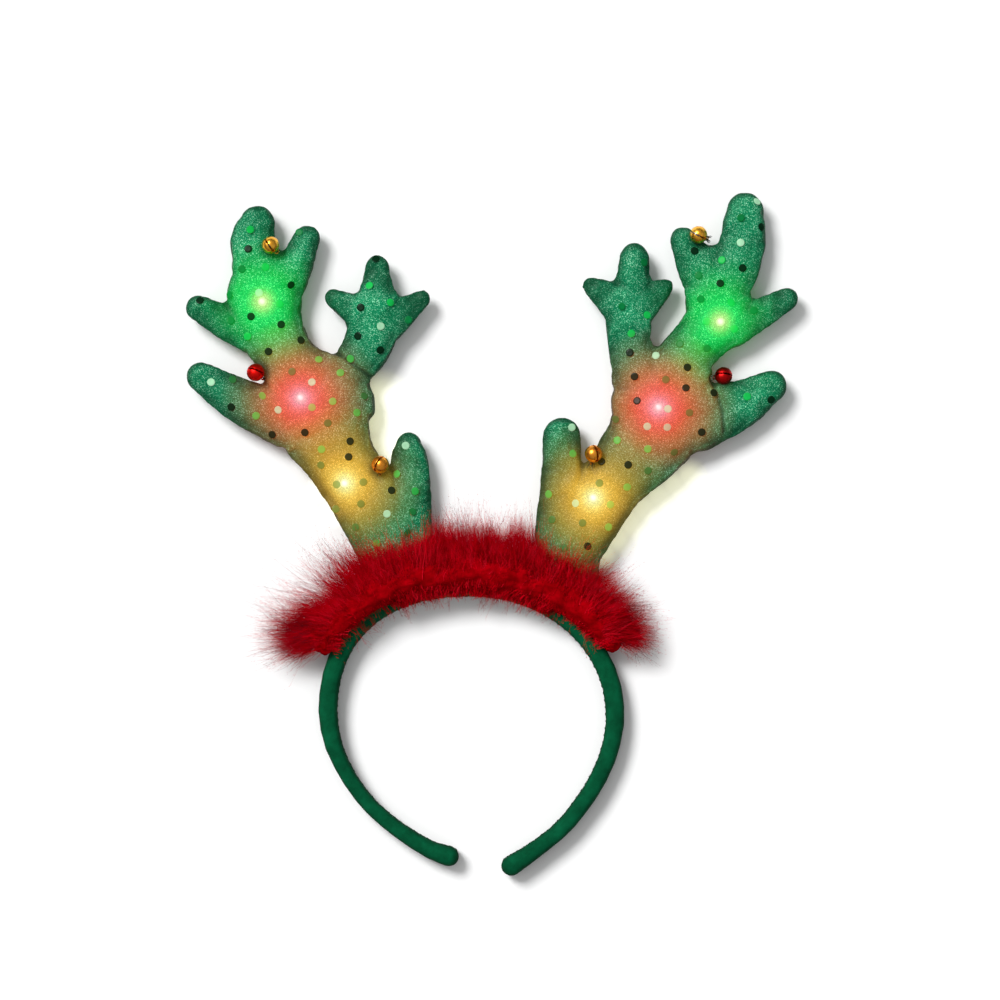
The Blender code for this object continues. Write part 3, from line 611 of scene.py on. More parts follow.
def makeSequins(antler, node, name, finishes):
    draw = random.Random(sequins["seed"] + len(name))
    low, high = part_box(node)
    tree = surfaceOf(antler)
    turn = Matrix.Rotation(math.radians(sequins["turn"][node]), 2)
    middle = Vector(((low.x + high.x) / 2, (low.y + high.y) / 2))
    reach = (high - low).to_2d().length / 2
    bm = bmesh.new()
    count = 0
    lenses = [centre for spotName, hue, centre in lensSpots()]
    bells = [middleOf(n) for n in nodes if n.startswith("bell_")]
    columns = int(reach / sequins["pitchAcross"]) + 1
    rows = int(reach / sequins["pitchUp"]) + 1
    for side in (1.0, -1.0):
        for i in range(-columns, columns + 1):
            for j in range(-rows, rows + 1):
                spot = Vector(((i + 0.07 * j) * sequins["pitchAcross"],
                               (j + (0.42 if i % 2 else 0.0)) * sequins["pitchUp"]))
                spot = middle + turn @ spot
                spot.x += draw.uniform(-1, 1) * sequins["jitter"]
                spot.y += draw.uniform(-1, 1) * sequins["jitter"]
                tilt = [draw.uniform(-1, 1) * math.radians(sequins["tilt"]) for k in range(2)]
                chance = draw.random()
                origin = Vector((spot.x, spot.y, 60 * mm * side))
                hit, normal, face, far = tree.ray_cast(origin, Vector((0, 0, -side)))
                if hit is None or normal.z * side < sequins["edgeRoom"]:
                    continue
                if not flatEnough(tree, hit, normal, side):
                    continue
                if min((hit - c).length for c in lenses) < sequins["lensRoom"]:
                    continue
                if min((hit - c).length for c in bells) < sequins["bellRoom"]:
                    continue
                face = normal.to_track_quat("Z", "Y").to_matrix().to_4x4()
                lean = Matrix.Rotation(tilt[0], 4, "X") @ Matrix.Rotation(tilt[1], 4, "Y")
                above = sequins["lift"] + sequins["radius"] * abs(tilt[0]) * 0.6
                addDisc(bm, Matrix.Translation(hit + normal * above) @ face @ lean, kindFor(chance))
                count += 1
    piece = pieceFrom(bm, name, finishes, False)
    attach(piece, "root")
    print(name, count, "sequins")


# Which kind a draw between 0 and 1 picks
def kindFor(chance):
    total = 0.0
    for kind, row in enumerate(sequins["kinds"]):
        total += row[1]
        if chance < total:
            return kind
    return len(sequins["kinds"]) - 1


# Whether the cloth lies under the whole of a dot, and nowhere over it
def flatEnough(tree, hit, normal, side):
    for k in range(6):
        rim = hit + Vector((*onCircle(k, 6), 0.0)) * sequins["radius"] * 0.8
        under = tree.ray_cast(Vector((rim.x, rim.y, 60 * mm * side)), Vector((0, 0, -side)))[0]
        if under is None or abs(under.z - hit.z) > sequins["mostDrop"]:
            return False
        if (under - hit).dot(normal) > sequins["mostSink"]:
            return False
    return True


# One foil dot: a shallow dished disc with a thickness and a softly rounded rim
def addDisc(bm, place, kind):
    radius, thick, sides = sequins["radius"], sequins["thick"], sequins["sides"]
    rings = []
    for share, height in ((0.94, 0.0), (1.0, 0.5), (0.94, 1.0), (0.55, 0.85)):
        circle = [onCircle(k, sides) for k in range(sides)]
        rings.append([bm.verts.new(place @ Vector((radius * share * x, radius * share * y, thick * height)))
                      for x, y in circle])
    faces = [bm.faces.new(rings[0][::-1])]
    for low, high in zip(rings, rings[1:]):
        faces += joinRings(bm, low, high)
    faces.append(bm.faces.new(rings[-1]))
    for face in faces:
        face.material_index = kind
        face.smooth = True


# Lenses of the lights

lens = {
    "radius": 2.2 * mm,
    "sunk": 0.3 * mm,
    "flat": 0.6,
    "rows": 10,
    "sides": 28,
    "green": ((1.00, 1.00, 0.78), (0.66, 0.95, 0.36)),      # colour at the middle and at the rim
    "red": ((1.00, 0.84, 0.84), (0.98, 0.42, 0.44)),
    "yellow": ((1.00, 1.00, 0.90), (1.00, 0.95, 0.46)),
}


def makeLensFinish(hue):
    middle, rim = lens[hue]
    made, tree, shader = newMaterial("lens" + hue.capitalize())
    place = here(tree)
    flat = vectorMaths(tree, "MULTIPLY", place, (1.0, 1.0, 0.0)).outputs[0]
    far = addNode(tree, "ShaderNodeVectorMath", [(0, flat)], operation="LENGTH").outputs["Value"]
    out = maths(tree, "DIVIDE", far, lens["radius"])
    swirl = noiseAt(tree, place, 900.0, 2.0)
    out = maths(tree, "ADD", out, maths(tree, "MULTIPLY", maths(tree, "SUBTRACT", swirl, 0.5), 0.25))
    tree.links.new(ramp(tree, out, ((0.15, middle), (1.0, rim)), "EASE").outputs["Color"],
                   shader.inputs["Emission Color"])
    tree.links.new(mixColour(tree, swirl, grey(0.02), grey(0.06)), shader.inputs["Base Color"])
    shader.inputs["Emission Strength"].default_value = 1.0
    shader.inputs["Roughness"].default_value = 0.3
    shader.inputs["Specular IOR Level"].default_value = 0.2
    return made


# A closed form turned about its own Z, from (radius, height) rows that start and end on the axis
def turnedMesh(bm, profile, sides):
    rings = []
    for radius, height in profile:
        circle = [onCircle(k, sides) for k in range(sides)] if radius else [(0.0, 0.0)]
        rings.append([bm.verts.new((radius * x, radius * y, height)) for x, y in circle])
    for low, high in zip(rings, rings[1:]):
        for k in range(sides):
            j = (k + 1) % sides
            corners = []
            for vert in (low[k % len(low)], low[j % len(low)], high[j % len(high)], high[k % len(high)]):
                if vert not in corners:
                    corners.append(vert)
            bm.faces.new(corners).smooth = True


def pieceFrom(bm, name, materials=(), faceOutwards=True):
    if faceOutwards:
        bmesh.ops.recalc_face_normals(bm, faces=bm.faces)
    mesh = bpy.data.meshes.new(name)
    bm.to_mesh(mesh)
    bm.free()
    for material in materials:
        mesh.materials.append(material)
    return linked(name, mesh)


def makeLenses():
    finishes = {hue: makeLensFinish(hue) for hue in ("green", "red", "yellow")}
    for node, hue, centre in lensSpots():
        low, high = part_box(node)
        radius = lens["radius"]
        shoulder = high.z - radius - lens["sunk"]
        # radius, and height over the floor
        profile = [(0.0, low.z), (radius * 0.9, low.z), (radius, low.z + 0.3 * mm)]
        for i in range(lens["rows"]):
            a = math.pi / 2 * i / lens["rows"]
            profile.append((radius * math.cos(a), shoulder + radius * lens["flat"] * math.sin(a)))
        profile.append((0.0, shoulder + radius * lens["flat"]))
        bm = bmesh.new()
        turnedMesh(bm, profile, lens["sides"])
        piece = pieceFrom(bm, node.replace("led", "lens"), [finishes[hue]])
        piece.location = (centre.x, centre.y, 0.0)
        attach(piece, "root")
        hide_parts(node)
    print("lenses made")


# Jingle bells: two stamped halves, a slot between two holes, a wire loop and its sewing thread

bell = {
    "radius": 4.55 * mm,
    "around": 42,
    "rows": 26,
    "wall": 0.5 * mm,
    "slot": 0.95 * mm,
    "hole": 0.95 * mm,          # radius of the holes at the slot's ends
    "holeAt": 0.30,             # of the radius, past the middle
    "ridge": 0.10 * mm,
    "ridgeWidth": 0.45 * mm,
    "loopRadius": 1.1 * mm,
    "loopWire": 0.36 * mm,
    "pelletDrop": 2.35 * mm,    # the pellet's middle lies this far under the bell's
    "thread": 0.15 * mm,
    "dip": 36.0,                # degrees that the loop dips into the cloth
    "turns": {                  # node: way of the loop, roll of the slot, metal, threads, their reach
        "bell_left_top": (-48.0, 12.0, "gold", 3, 1.2 * mm),
        "bell_left_middle": (-35.0, -22.0, "red", 4, 2.2 * mm),
        "bell_left_base": (-98.0, 32.0, "copper", 3, 1.6 * mm),
        "bell_right_top": (-20.0, 10.0, "gold", 14, 2.5 * mm),
        "bell_right_middle": (188.0, 20.0, "darkRed", 5, 2.4 * mm),
        "bell_right_base": (-100.0, -32.0, "copper", 5, 3.0 * mm),
    },
}


def makeBellFinish(name, colour, deep, roughness):
    made, tree, shader = newMaterial(name)
    place = here(tree)
    stain = noiseAt(tree, place, 260.0, 4.0, 0.65)
    mixed = ramp(tree, stain, ((0.30, deep), (0.62, colour))).outputs["Color"]
    tree.links.new(mixed, shader.inputs["Base Color"])
    shader.inputs["Metallic"].default_value = 1.0
    roughStops = ((0.3, grey(roughness)), (0.8, grey(roughness + 0.2)))
    rough = ramp(tree, noiseAt(tree, place, 900.0, 3.0), roughStops).outputs["Color"]
    tree.links.new(rough, shader.inputs["Roughness"])
    tree.links.new(bumpFrom(tree, noiseAt(tree, place, 1600.0, 2.0), 0.02 * mm, 0.5), shader.inputs["Normal"])
    return made


# Loop towards +X, slot in the XZ plane
def makeBellMesh():
    radius, wall = bell["radius"], bell["wall"]
    lay = Matrix.Rotation(math.radians(90.0), 4, "Y")
    bm = bmesh.new()
    for r, flip in ((radius, False), (radius - wall, True)):
        made = bmesh.ops.create_uvsphere(bm, u_segments=bell["around"], v_segments=bell["rows"],
                                         radius=r, matrix=lay)
        if flip:
            faces = list({face for vert in made["verts"] for face in vert.link_faces})
            bmesh.ops.reverse_faces(bm, faces=faces)
        else:
            for vert in made["verts"]:
                rise = bell["ridge"] * math.exp(-(vert.co.x / bell["ridgeWidth"]) ** 2)
                vert.co += vert.co.normalized() * rise
    shell = pieceFrom(bm, "bellShell", (), False)
    cutters = []
    end = radius * bell["holeAt"]
    bm = bmesh.new()
    room = Matrix.Diagonal((2 * (radius + end), bell["slot"], 4 * radius, 1.0))
    bmesh.ops.create_cube(bm, size=1.0, matrix=Matrix.Translation((-radius, 0, 0)) @ room)
    cutters.append(pieceFrom(bm, "bellSlot", (), False))
    bm = bmesh.new()
    bmesh.ops.create_cone(bm, cap_ends=True, segments=24, radius1=bell["hole"], radius2=bell["hole"],
                          depth=4 * radius, matrix=Matrix.Translation((end, 0, 0)))
    cutters.append(pieceFrom(bm, "bellHoles", (), False))
    for cutter in cutters:
        cut = shell.modifiers.new("cut", "BOOLEAN")
        cut.operation = "DIFFERENCE"
        cut.solver = "EXACT"
        cut.object = cutter
    soften = shell.modifiers.new("soften", "BEVEL")
    soften.width = 0.12 * mm
    soften.segments = 2
    soften.limit_method = "ANGLE"
    soften.angle_limit = math.radians(50.0)
    applied(shell)
    bm = bmesh.new()
    bm.from_mesh(shell.data)
    for part in [shell] + cutters:
        bpy.data.objects.remove(part, do_unlink=True)
    addRing(bm, Vector((radius + bell["loopRadius"] * 0.82, 0, 0)), bell["loopRadius"], bell["loopWire"])
    mesh = bpy.data.meshes.new("bell")
    bm.to_mesh(mesh)
    bm.free()
    mesh.shade_smooth()
    mesh.set_sharp_from_angle(angle=math.radians(42.0))
    return mesh


def addRing(bm, centre, radius, wire, around=28, sides=12):
    rings = []
    for i in range(around):
        out = Vector((*onCircle(i, around), 0))
        ring = []
        for x, z in [onCircle(k, sides) for k in range(sides)]:
            ring.append(bm.verts.new(centre + out * (radius + wire * x) + Vector((0, 0, wire * z))))
        rings.append(ring)
    for near, far in zip(rings, rings[1:] + rings[:1]):
        joinRings(bm, far, near)


def makeThreadFinish(name, dark, light, shine):
    made, tree, shader = newMaterial(name)
    twist = noiseAt(tree, here(tree), 2400.0, 1.0)
    tree.links.new(mixColour(tree, twist, dark, light), shader.inputs["Base Color"])
    shader.inputs["Roughness"].default_value = 0.6
    shader.inputs["Specular IOR Level"].default_value = shine
    tree.links.new(bumpFrom(tree, twist, 0.05 * mm, 0.6), shader.inputs["Normal"])
    return made


def makeBells():
    finishes = {
        "gold": makeBellFinish("bellGold", (1.00, 0.56, 0.07), (0.72, 0.28, 0.015), 0.20),
        "copper": makeBellFinish("bellCopper", (1.00, 0.42, 0.05), (0.66, 0.20, 0.015), 0.22),
        "red": makeBellFinish("bellRed", (1.00, 0.012, 0.008), (0.62, 0.004, 0.004), 0.30),
        "darkRed": makeBellFinish("bellDarkRed", (0.62, 0.010, 0.010), (0.30, 0.003, 0.004), 0.30),
    }
    mesh = makeBellMesh()
    draw = random.Random(5)
    threads = bmesh.new()
    for node, (loop, roll, metal, count, reach) in bell["turns"].items():
        piece = linked(node.replace("bell", "jingle"), mesh.copy())
        piece.data.materials.append(finishes[metal])
        centre = middleOf(node.replace("bell", "pellet")) + Vector((0, 0, bell["pelletDrop"]))
        dip = Matrix.Rotation(math.radians(bell["dip"]), 4, "Y")
        turn = Matrix.Rotation(math.radians(loop), 4, "Z") @ dip
        piece.matrix_world = Matrix.Translation(centre) @ turn @ Matrix.Rotation(math.radians(roll), 4, "X")
        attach(piece, "root")
        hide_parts(node)
        way = Vector((math.cos(math.radians(loop)), math.sin(math.radians(loop)), 0.0))
        side = Vector((-way.y, way.x, 0.0))
        eye = centre + way * (bell["radius"] * 0.95) + Vector((0, 0, -1.6 * mm))
        for k in range(count):
            sway = draw.uniform(-0.75, 0.75)
            end = eye + way * reach * draw.uniform(0.7, 1.1) + side * sway * reach + Vector((0, 0, -1.5 * mm))
            rise = Vector((0, 0, draw.uniform(0.8, 2.6) * mm))
            crest = (eye + end) / 2 + rise + side * sway * reach * 0.5
            run = []
            for t in (i / 7 for i in range(8)):
                run.append(eye * (1 - t) ** 2 + crest * 2 * t * (1 - t) + end * t ** 2)
            addThread(threads, run, bell["thread"])
    darkThread = makeThreadFinish("darkThread", (0.004, 0.010, 0.005), (0.03, 0.05, 0.03), 0.2)
    tied = pieceFrom(threads, "bellThreads", [darkThread])
    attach(tied, "root")
    steel = makeBellFinish("pelletSteel", grey(0.5), grey(0.25), 0.3)
    for name, node in nodes.items():
        if name.startswith("pellet_"):
            node.data.materials.clear()
            node.data.materials.append(steel)
    print("bells made")


# Headband: a padded hoop covered in velvet; the stitches of its lapped edge run along the inner side

band = {
    "voxel": 0.9 * mm,
    "smoothing": 5,
    "grow": 0.12 * mm,
    "ripple": 0.10 * mm,
    "rippleSize": 7.0 * mm,
    "colour": (0.0008, 0.056, 0.021),
    "light": (0.0020, 0.100, 0.040),
    # dark velvet tone, also the colour of the painted shade on the band's lower sides
    "dark": (0.0005, 0.022, 0.008),
    "headX": -10.6 * mm,
    "headY": -95 * mm,
    "seamHeight": 7.0 * mm,
    "stitchPitch": 3.6 * mm,
    "stitchLength": 2.0 * mm,
    "stitchRadius": 0.15 * mm,
}


def makeVelvet():
    made, tree, shader = newMaterial("greenVelvet")
    place = here(tree)
    cloud = noiseAt(tree, place, 130.0, 4.0, 0.6)
    pile = noiseAt(tree, place, 2600.0, 2.0, 0.7)
    tones = ((0.25, band["dark"]), (0.5, band["colour"]), (0.75, band["light"]))
    body = ramp(tree, cloud, tones).outputs["Color"]
    body = mixColour(tree, maths(tree, "MULTIPLY", pile, 0.55), body, band["light"])
    # Painted shade: the band's lower sides, below about 8 mm over the floor and fading out by about 14 mm,
    # are mixed towards the dark velvet colour.
    split = addNode(tree, "ShaderNodeSeparateXYZ", [(0, place)])
    side = ramp(tree, maths(tree, "DIVIDE", split.outputs["Z"], 14 * mm),
                ((0.60, grey(0.9)), (0.97, grey(0.0)))).outputs["Color"]
    tree.links.new(mixColour(tree, side, body, band["dark"]), shader.inputs["Base Color"])
    shader.inputs["Roughness"].default_value = 0.80
    shader.inputs["Specular IOR Level"].default_value = 0.03
    tree.links.new(bumpFrom(tree, pile, 0.10 * mm, 0.7), shader.inputs["Normal"])
    return made


def makeHeadband(material):
    piece = copyOf("headband", "velvetBand")
    fusedSkin(piece, band["voxel"], band["smoothing"])
    points, normals = pointsOf(piece.data), normalsOf(piece.data)
    push = band["grow"] + band["ripple"] * noiseOver(points, band["rippleSize"], 5.0)
    push += 0.04 * mm * noiseOver(points, 1.6 * mm, 2.0)
    points += normals * push[:, None]
    points[:, 2] = np.maximum(points[:, 2], 0.03 * mm)
    setPoints(piece.data, points)
    piece.data.materials.append(material)
    piece.data.shade_smooth()
    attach(piece, "root")
    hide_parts("headband")
    print("velvetBand", len(piece.data.polygons), "faces")
    return piece


# The middle of the band's inner face, found by looking outwards from the head's place
def innerLine(piece):
    tree = surfaceOf(piece)
    origin = Vector((band["headX"], band["headY"], band["seamHeight"]))
    run = []
    for step in range(0, 721):
        a = math.radians(-90.0 + step / 2)
        way = Vector((math.cos(a), math.sin(a), 0))
        hit, normal, face, far = tree.ray_cast(origin, way)
        if hit is not None and far < 0.12 and normal.dot(way) < -0.3:
            run.append((hit, normal))
    return run


def makeBandStitches(piece):
    run = innerLine(piece)
    bm = bmesh.new()
    gone = 0.0
    for (a, na), (b, nb) in zip(run, run[1:]):
        step = (b - a).length
        gone += step
        if gone < band["stitchPitch"] or step > 3 * mm:
            continue
        gone = 0.0
        way = (b - a).normalized()
        up = Vector((0, 0, 1))
        slant = (way * 0.75 + up * 0.66).normalized()
        stitch = []
        for t in (0.0, 0.2, 0.4, 0.6, 0.8, 1.0):
            clear = (0.02 + 0.16 * math.sin(math.pi * t)) * mm
            stitch.append(a + slant * band["stitchLength"] * (t - 0.5) + na * clear)
        addThread(bm, stitch, band["stitchRadius"])
    sewingThread = makeThreadFinish("sewingThread", band["dark"], band["light"], 0.5)
    stitches = pieceFrom(bm, "bandStitches", [sewingThread])
    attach(stitches, "root")
    print("band stitched")


def addThread(bm, run, radius, sides=6):
    rings = []
    for i, point in enumerate(run):
        way = (run[min(i + 1, len(run) - 1)] - run[max(i - 1, 0)]).normalized()
        side = way.orthogonal().normalized()
        other = way.cross(side)
        thick = radius * (0.55 if i in (0, len(run) - 1) else 1.0)
        circle = [onCircle(k, sides) for k in range(sides)]
        rings.append([bm.verts.new(point + (side * x + other * y) * thick) for x, y in circle])
    for near, far in zip(rings, rings[1:]):
        for face in joinRings(bm, near, far):
            face.smooth = True
    bm.faces.new(rings[0][::-1])
    bm.faces.new(rings[-1])


# Marabou: a dense fused core, with thousands of curved barbs that carry fine barbules

marabou = {
    "seed": 7,
    "coreVoxel": 1.6 * mm,
    "coreSmoothing": 6,
    "coreRadius": 12.0 * mm,
    "innerReach": (8.3 * mm, 13.4 * mm),        # how far the fur comes over the band, at the ends and amid
    "amid": (0.27, 0.80),
    "endTaper": 0.45,
    "coreHeight": 14.3 * mm,
    "coreFlat": 0.92,
    "arch": (153.0, 31.0),      # degrees, left end and right end
    "span": 148.7 * mm,
    "rise": 65.8 * mm,
    "shoulders": (2.3, 2.0),    # left, right
    "topY": -22.6 * mm,
    "middleX": -10.6 * mm,
    "lift": 8.5 * mm,
    "steps": 5,
    # name, clumps, barbs a clump, half width of a clump, barb width, least and most length,
    # degrees round the core from outwards, upward share, barbules a barb
    "layers": (
        ("coat", 1400, 7, 1.3 * mm, 0.26 * mm, (8 * mm, 14 * mm), (10.0, 165.0), 0.30, 8),
        ("crown", 330, 7, 1.5 * mm, 0.24 * mm, (17 * mm, 24 * mm), (55.0, 110.0), 0.13, 9),
        ("edge", 420, 7, 1.1 * mm, 0.24 * mm, (8 * mm, 13 * mm), (160.0, 178.0), 0.40, 7),
        ("haze", 1000, 10, 2.2 * mm, 0.10 * mm, (11 * mm, 21 * mm), (-34.0, 40.0), 0.10, 9),
        ("hairs", 300, 5, 1.6 * mm, 0.19 * mm, (12 * mm, 24 * mm), (-30.0, 40.0), 0.10, 8),
        ("inner", 80, 4, 1.0 * mm, 0.12 * mm, (5 * mm, 10 * mm), (172.0, 200.0), 0.05, 6),
    ),
    "endShare": {"coat": 0.05, "haze": 0.26, "hairs": 0.30},     # clumps that grow from the two ends
    "ends": (0.24, 0.14),                       # shares of the run that count as an end, left and right
    "fanned": (0.75, 1.8),                      # how far the ends fan out, in the coat and in the wisps
    "endLonger": (0.55, 0.10),
    "warmth": (0.55, 0.12, 0.004),              # what the right yellow light adds
    "warmReach": 40 * mm,
    "barbule": 1.3 * mm,
    "barbuleWidth": 0.09 * mm,
}


def archPoint(degrees):
    turn = math.radians(degrees)
    bend = 2.0 / (marabou["shoulders"][1] if degrees < 90.0 else marabou["shoulders"][0])
    across = math.copysign(abs(math.cos(turn)) ** bend, math.cos(turn))
    widestY = marabou["topY"] - 4.75 * mm - marabou["rise"]
    return Vector((marabou["middleX"] + marabou["span"] / 2 * across,
                   widestY + marabou["rise"] * abs(math.sin(turn)) ** bend, 0.0))


# Centre of the fur's core and its outward way, from the left end at 0 to the right end at 1
def corePlace(share):
    left, right = marabou["arch"]
    degrees = left + (right - left) * share
    spot, ahead = archPoint(degrees), archPoint(degrees - 0.5)
    way = (ahead - spot).normalized()
    out = Vector((-way.y, way.x, 0.0))
    return spot + out * marabou["lift"] + Vector((0, 0, marabou["coreHeight"])), out, way


# From 1 at the left end, over 0, to -1 at the right end
def endOf(share):
    left, right = marabou["ends"]
    return max(0.0, 1 - share / left) - max(0.0, 1 - (1 - share) / right)


def amid(share):
    low, high = marabou["amid"]
    return min(max(min(share - low, high - share) / 0.06 + 0.5, 0.0), 1.0)


def innerReach(share):
    ends, middle = marabou["innerReach"]
    return ends + (middle - ends) * amid(share)


def makeMarabouFinish(name, root, tip):
    made, tree, shader = newMaterial(name)
    place = here(tree)
    patch = noiseAt(tree, place, 150.0, 3.0, 0.6)
    fine = noiseAt(tree, place, 900.0, 1.0)
    tone = maths(tree, "ADD", maths(tree, "MULTIPLY", patch, 0.8), maths(tree, "MULTIPLY", fine, 0.2))
    own = ramp(tree, tone, ((0.35, root), (0.65, tip))).outputs["Color"]
    tree.links.new(own, shader.inputs["Base Color"])
    far = vectorMaths(tree, "DISTANCE", place, middleOf("led_right_yellow")[:]).outputs["Value"]
    warmStops = ((0.3, marabou["warmth"]), (0.8, grey(0.0)))
    warm = ramp(tree, maths(tree, "DIVIDE", far, marabou["warmReach"]), warmStops).outputs["Color"]
    tree.links.new(warm, shader.inputs["Emission Color"])
    shader.inputs["Emission Strength"].default_value = 1.0
    shader.inputs["Roughness"].default_value = 0.9
    shader.inputs["Specular IOR Level"].default_value = 0.0
    tree.links.new(bumpFrom(tree, fine, 0.2 * mm, 0.4), shader.inputs["Normal"])
    return made


def makeMarabouCore(material):
    piece = copyOf("marabou_trim", "marabouCore")
    fusedSkin(piece, marabou["coreVoxel"], marabou["coreSmoothing"])
    points = pointsOf(piece.data)
    places = [corePlace(i / 160) for i in range(161)]
    line = np.array([place[0] for place in places])
    outward = np.array([place[1] for place in places])
    inner = np.array([innerReach(i / 160) for i in range(161)])
    slim = np.array([1 - marabou["endTaper"] * abs(endOf(i / 160)) ** 2 for i in range(161)])
    far = np.linalg.norm(points[:, None, :] - line[None, :, :], axis=2)
    index = np.argmin(far, axis=1)
    away = points - line[index]
    length = np.linalg.norm(away, axis=1)
    facing = -np.einsum("ij,ij->i", away, outward[index]) / np.maximum(length, 1e-9)
    radius = marabou["coreRadius"] * slim[index]
    inwards = np.clip(facing, 0.0, 1.0) ** 2
    radius = radius + (np.minimum(inner[index], 9.5 * mm) * 0.97 * slim[index] - radius) * inwards
    tufts = 1.3 * mm * noiseOver(points, 7 * mm, 1.0) + 0.5 * mm * noiseOver(points, 2.5 * mm, 4.0)
    radius += tufts * (1 - inwards)
    points = line[index] + away * (np.minimum(length, radius) / np.maximum(length, 1e-9))[:, None]
    points[:, 2] = np.maximum(points[:, 2], 0.3 * mm)
    setPoints(piece.data, points)
    piece.data.materials.append(material)
    piece.data.shade_smooth()
    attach(piece, "root")
    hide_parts("marabou_trim")
    print("marabou core ready,", len(piece.data.polygons), "faces")


# Where along the core a clump grows, from 0 to 1
def drawShare(draw, layer):
    share = draw.rand()
    if draw.rand() < marabou["endShare"].get(layer, 0.0):
        share = 0.08 * draw.rand() ** 2 if draw.rand() < 0.62 else 1 - 0.06 * draw.rand() ** 2
    while layer == "edge" and amid(share) < 0.5:
        share = draw.rand()
    return share


# One clump of barbs: its root, the way it lies, its length and its share along the core
def drawClump(draw, layer, reaches, fans, rise):
    share = drawShare(draw, layer)
    fan = math.radians(fans[0] + (fans[1] - fans[0]) * draw.rand())
    centre, out, way = corePlace(share)
    end = endOf(share)
    spread = out * math.cos(fan) + Vector((0, 0, math.sin(fan) * marabou["coreFlat"]))
    if layer == "inner":
        lie = out * -1.0
    else:
        lie = out + Vector((0, 0, rise * (0.4 + 0.8 * math.sin(fan))))
    sway = 0.45 * noise.noise(centre / (14 * mm) + Vector((fans[0], 0, fan))) * 2 + draw.normal() * 0.14
    fanned = marabou["fanned"][0 if layer in ("coat", "crown", "edge") else 1]
    lie = lie + way * (sway - fanned * end * draw.uniform(0.1, 1.2))
    radius = marabou["coreRadius"] * (1 - marabou["endTaper"] * end * end) * draw.uniform(0.80, 0.96)
    inwards = max(0.0, -math.cos(fan)) ** 2
    radius += (innerReach(share) * draw.uniform(0.85, 1.0) - radius) * inwards
    root = centre + spread * radius
    if layer in ("haze", "hairs"):
        root -= way * end * marabou["coreRadius"] * 0.35 * draw.rand()
    longer = marabou["endLonger"][0 if share < 0.5 else 1] * min(1.0, abs(end) * 2.4)
    if layer in ("coat", "crown"):
        longer = 0.25 * abs(end) - 0.90 * end * end
    short, long = reaches
    reach = (short + (long - short) * draw.rand() ** 1.5) * (1 + longer)
    return root[:], lie.normalized()[:], reach, share


# Clumps of long barbs, combed from the band's edge outwards and fanned at both ends
def makeMarabou(finishes, hairFinish):
    draw = np.random.RandomState(marabou["seed"])
    steps = marabou["steps"]
    t = np.linspace(0.0, 1.0, steps + 1)
    for layer, clumps, barbs, spreadBy, width, reaches, fans, rise, barbules in marabou["layers"]:
        grown = [drawClump(draw, layer, reaches, fans, rise) for i in range(clumps)]
        starts, ways, lengths, shares = (np.array(rows) for rows in zip(*grown))
        shifts = [Vector((k * 7.1, 3.0, fans[0])) for k in range(3)]
        curl = np.array([[noise.noise(Vector(p) / (10 * mm) + shift) for shift in shifts] for p in starts])
        curl *= 0.9
        curl[:, 1] += 0.12
        curl[:, 2] -= 0.25
        count = clumps * barbs
        owner = np.repeat(np.arange(clumps), barbs)
        starts, ways, curl = starts[owner], ways[owner], curl[owner]
        starts = starts + draw.normal(size=(count, 3)) * spreadBy * np.array([1.0, 1.0, 0.5])
        ways = ways + draw.normal(size=(count, 3)) * np.array([0.13, 0.13, 0.07])
        curl = curl + draw.normal(size=(count, 3)) * 0.16
        lengths = lengths[owner] * draw.uniform(0.65, 1.1, size=count)
        spine = (starts[:, None, :] + ways[:, None, :] * (lengths[:, None] * t)[:, :, None]
                 + curl[:, None, :] * (lengths[:, None] * 0.5 * t ** 2)[:, :, None])
        bend = draw.normal(size=(count, 1, 3)) * 0.035
        spine += bend * np.sin(t * 7.0 + draw.rand(count, 1) * 6)[:, :, None] * lengths[:, None, None]
        spine[:, :, 2] = np.maximum(spine[:, :, 2], 0.4 * mm + 1.5 * mm * draw.rand(count)[:, None])
        chosen = hairFinish if layer == "hairs" else finishes
        kinds = draw.randint(0, len(chosen), size=clumps)[owner]
        pieces = {"coat": 3, "haze": 3}.get(layer, 1)
        for k, part in enumerate(np.array_split(np.argsort(shares[owner], kind="stable"), pieces)):
            name = f"marabou{layer.capitalize()}{k + 1}"
            buildStrands(name, spine[part], kinds[part], width, barbules, draw, chosen)


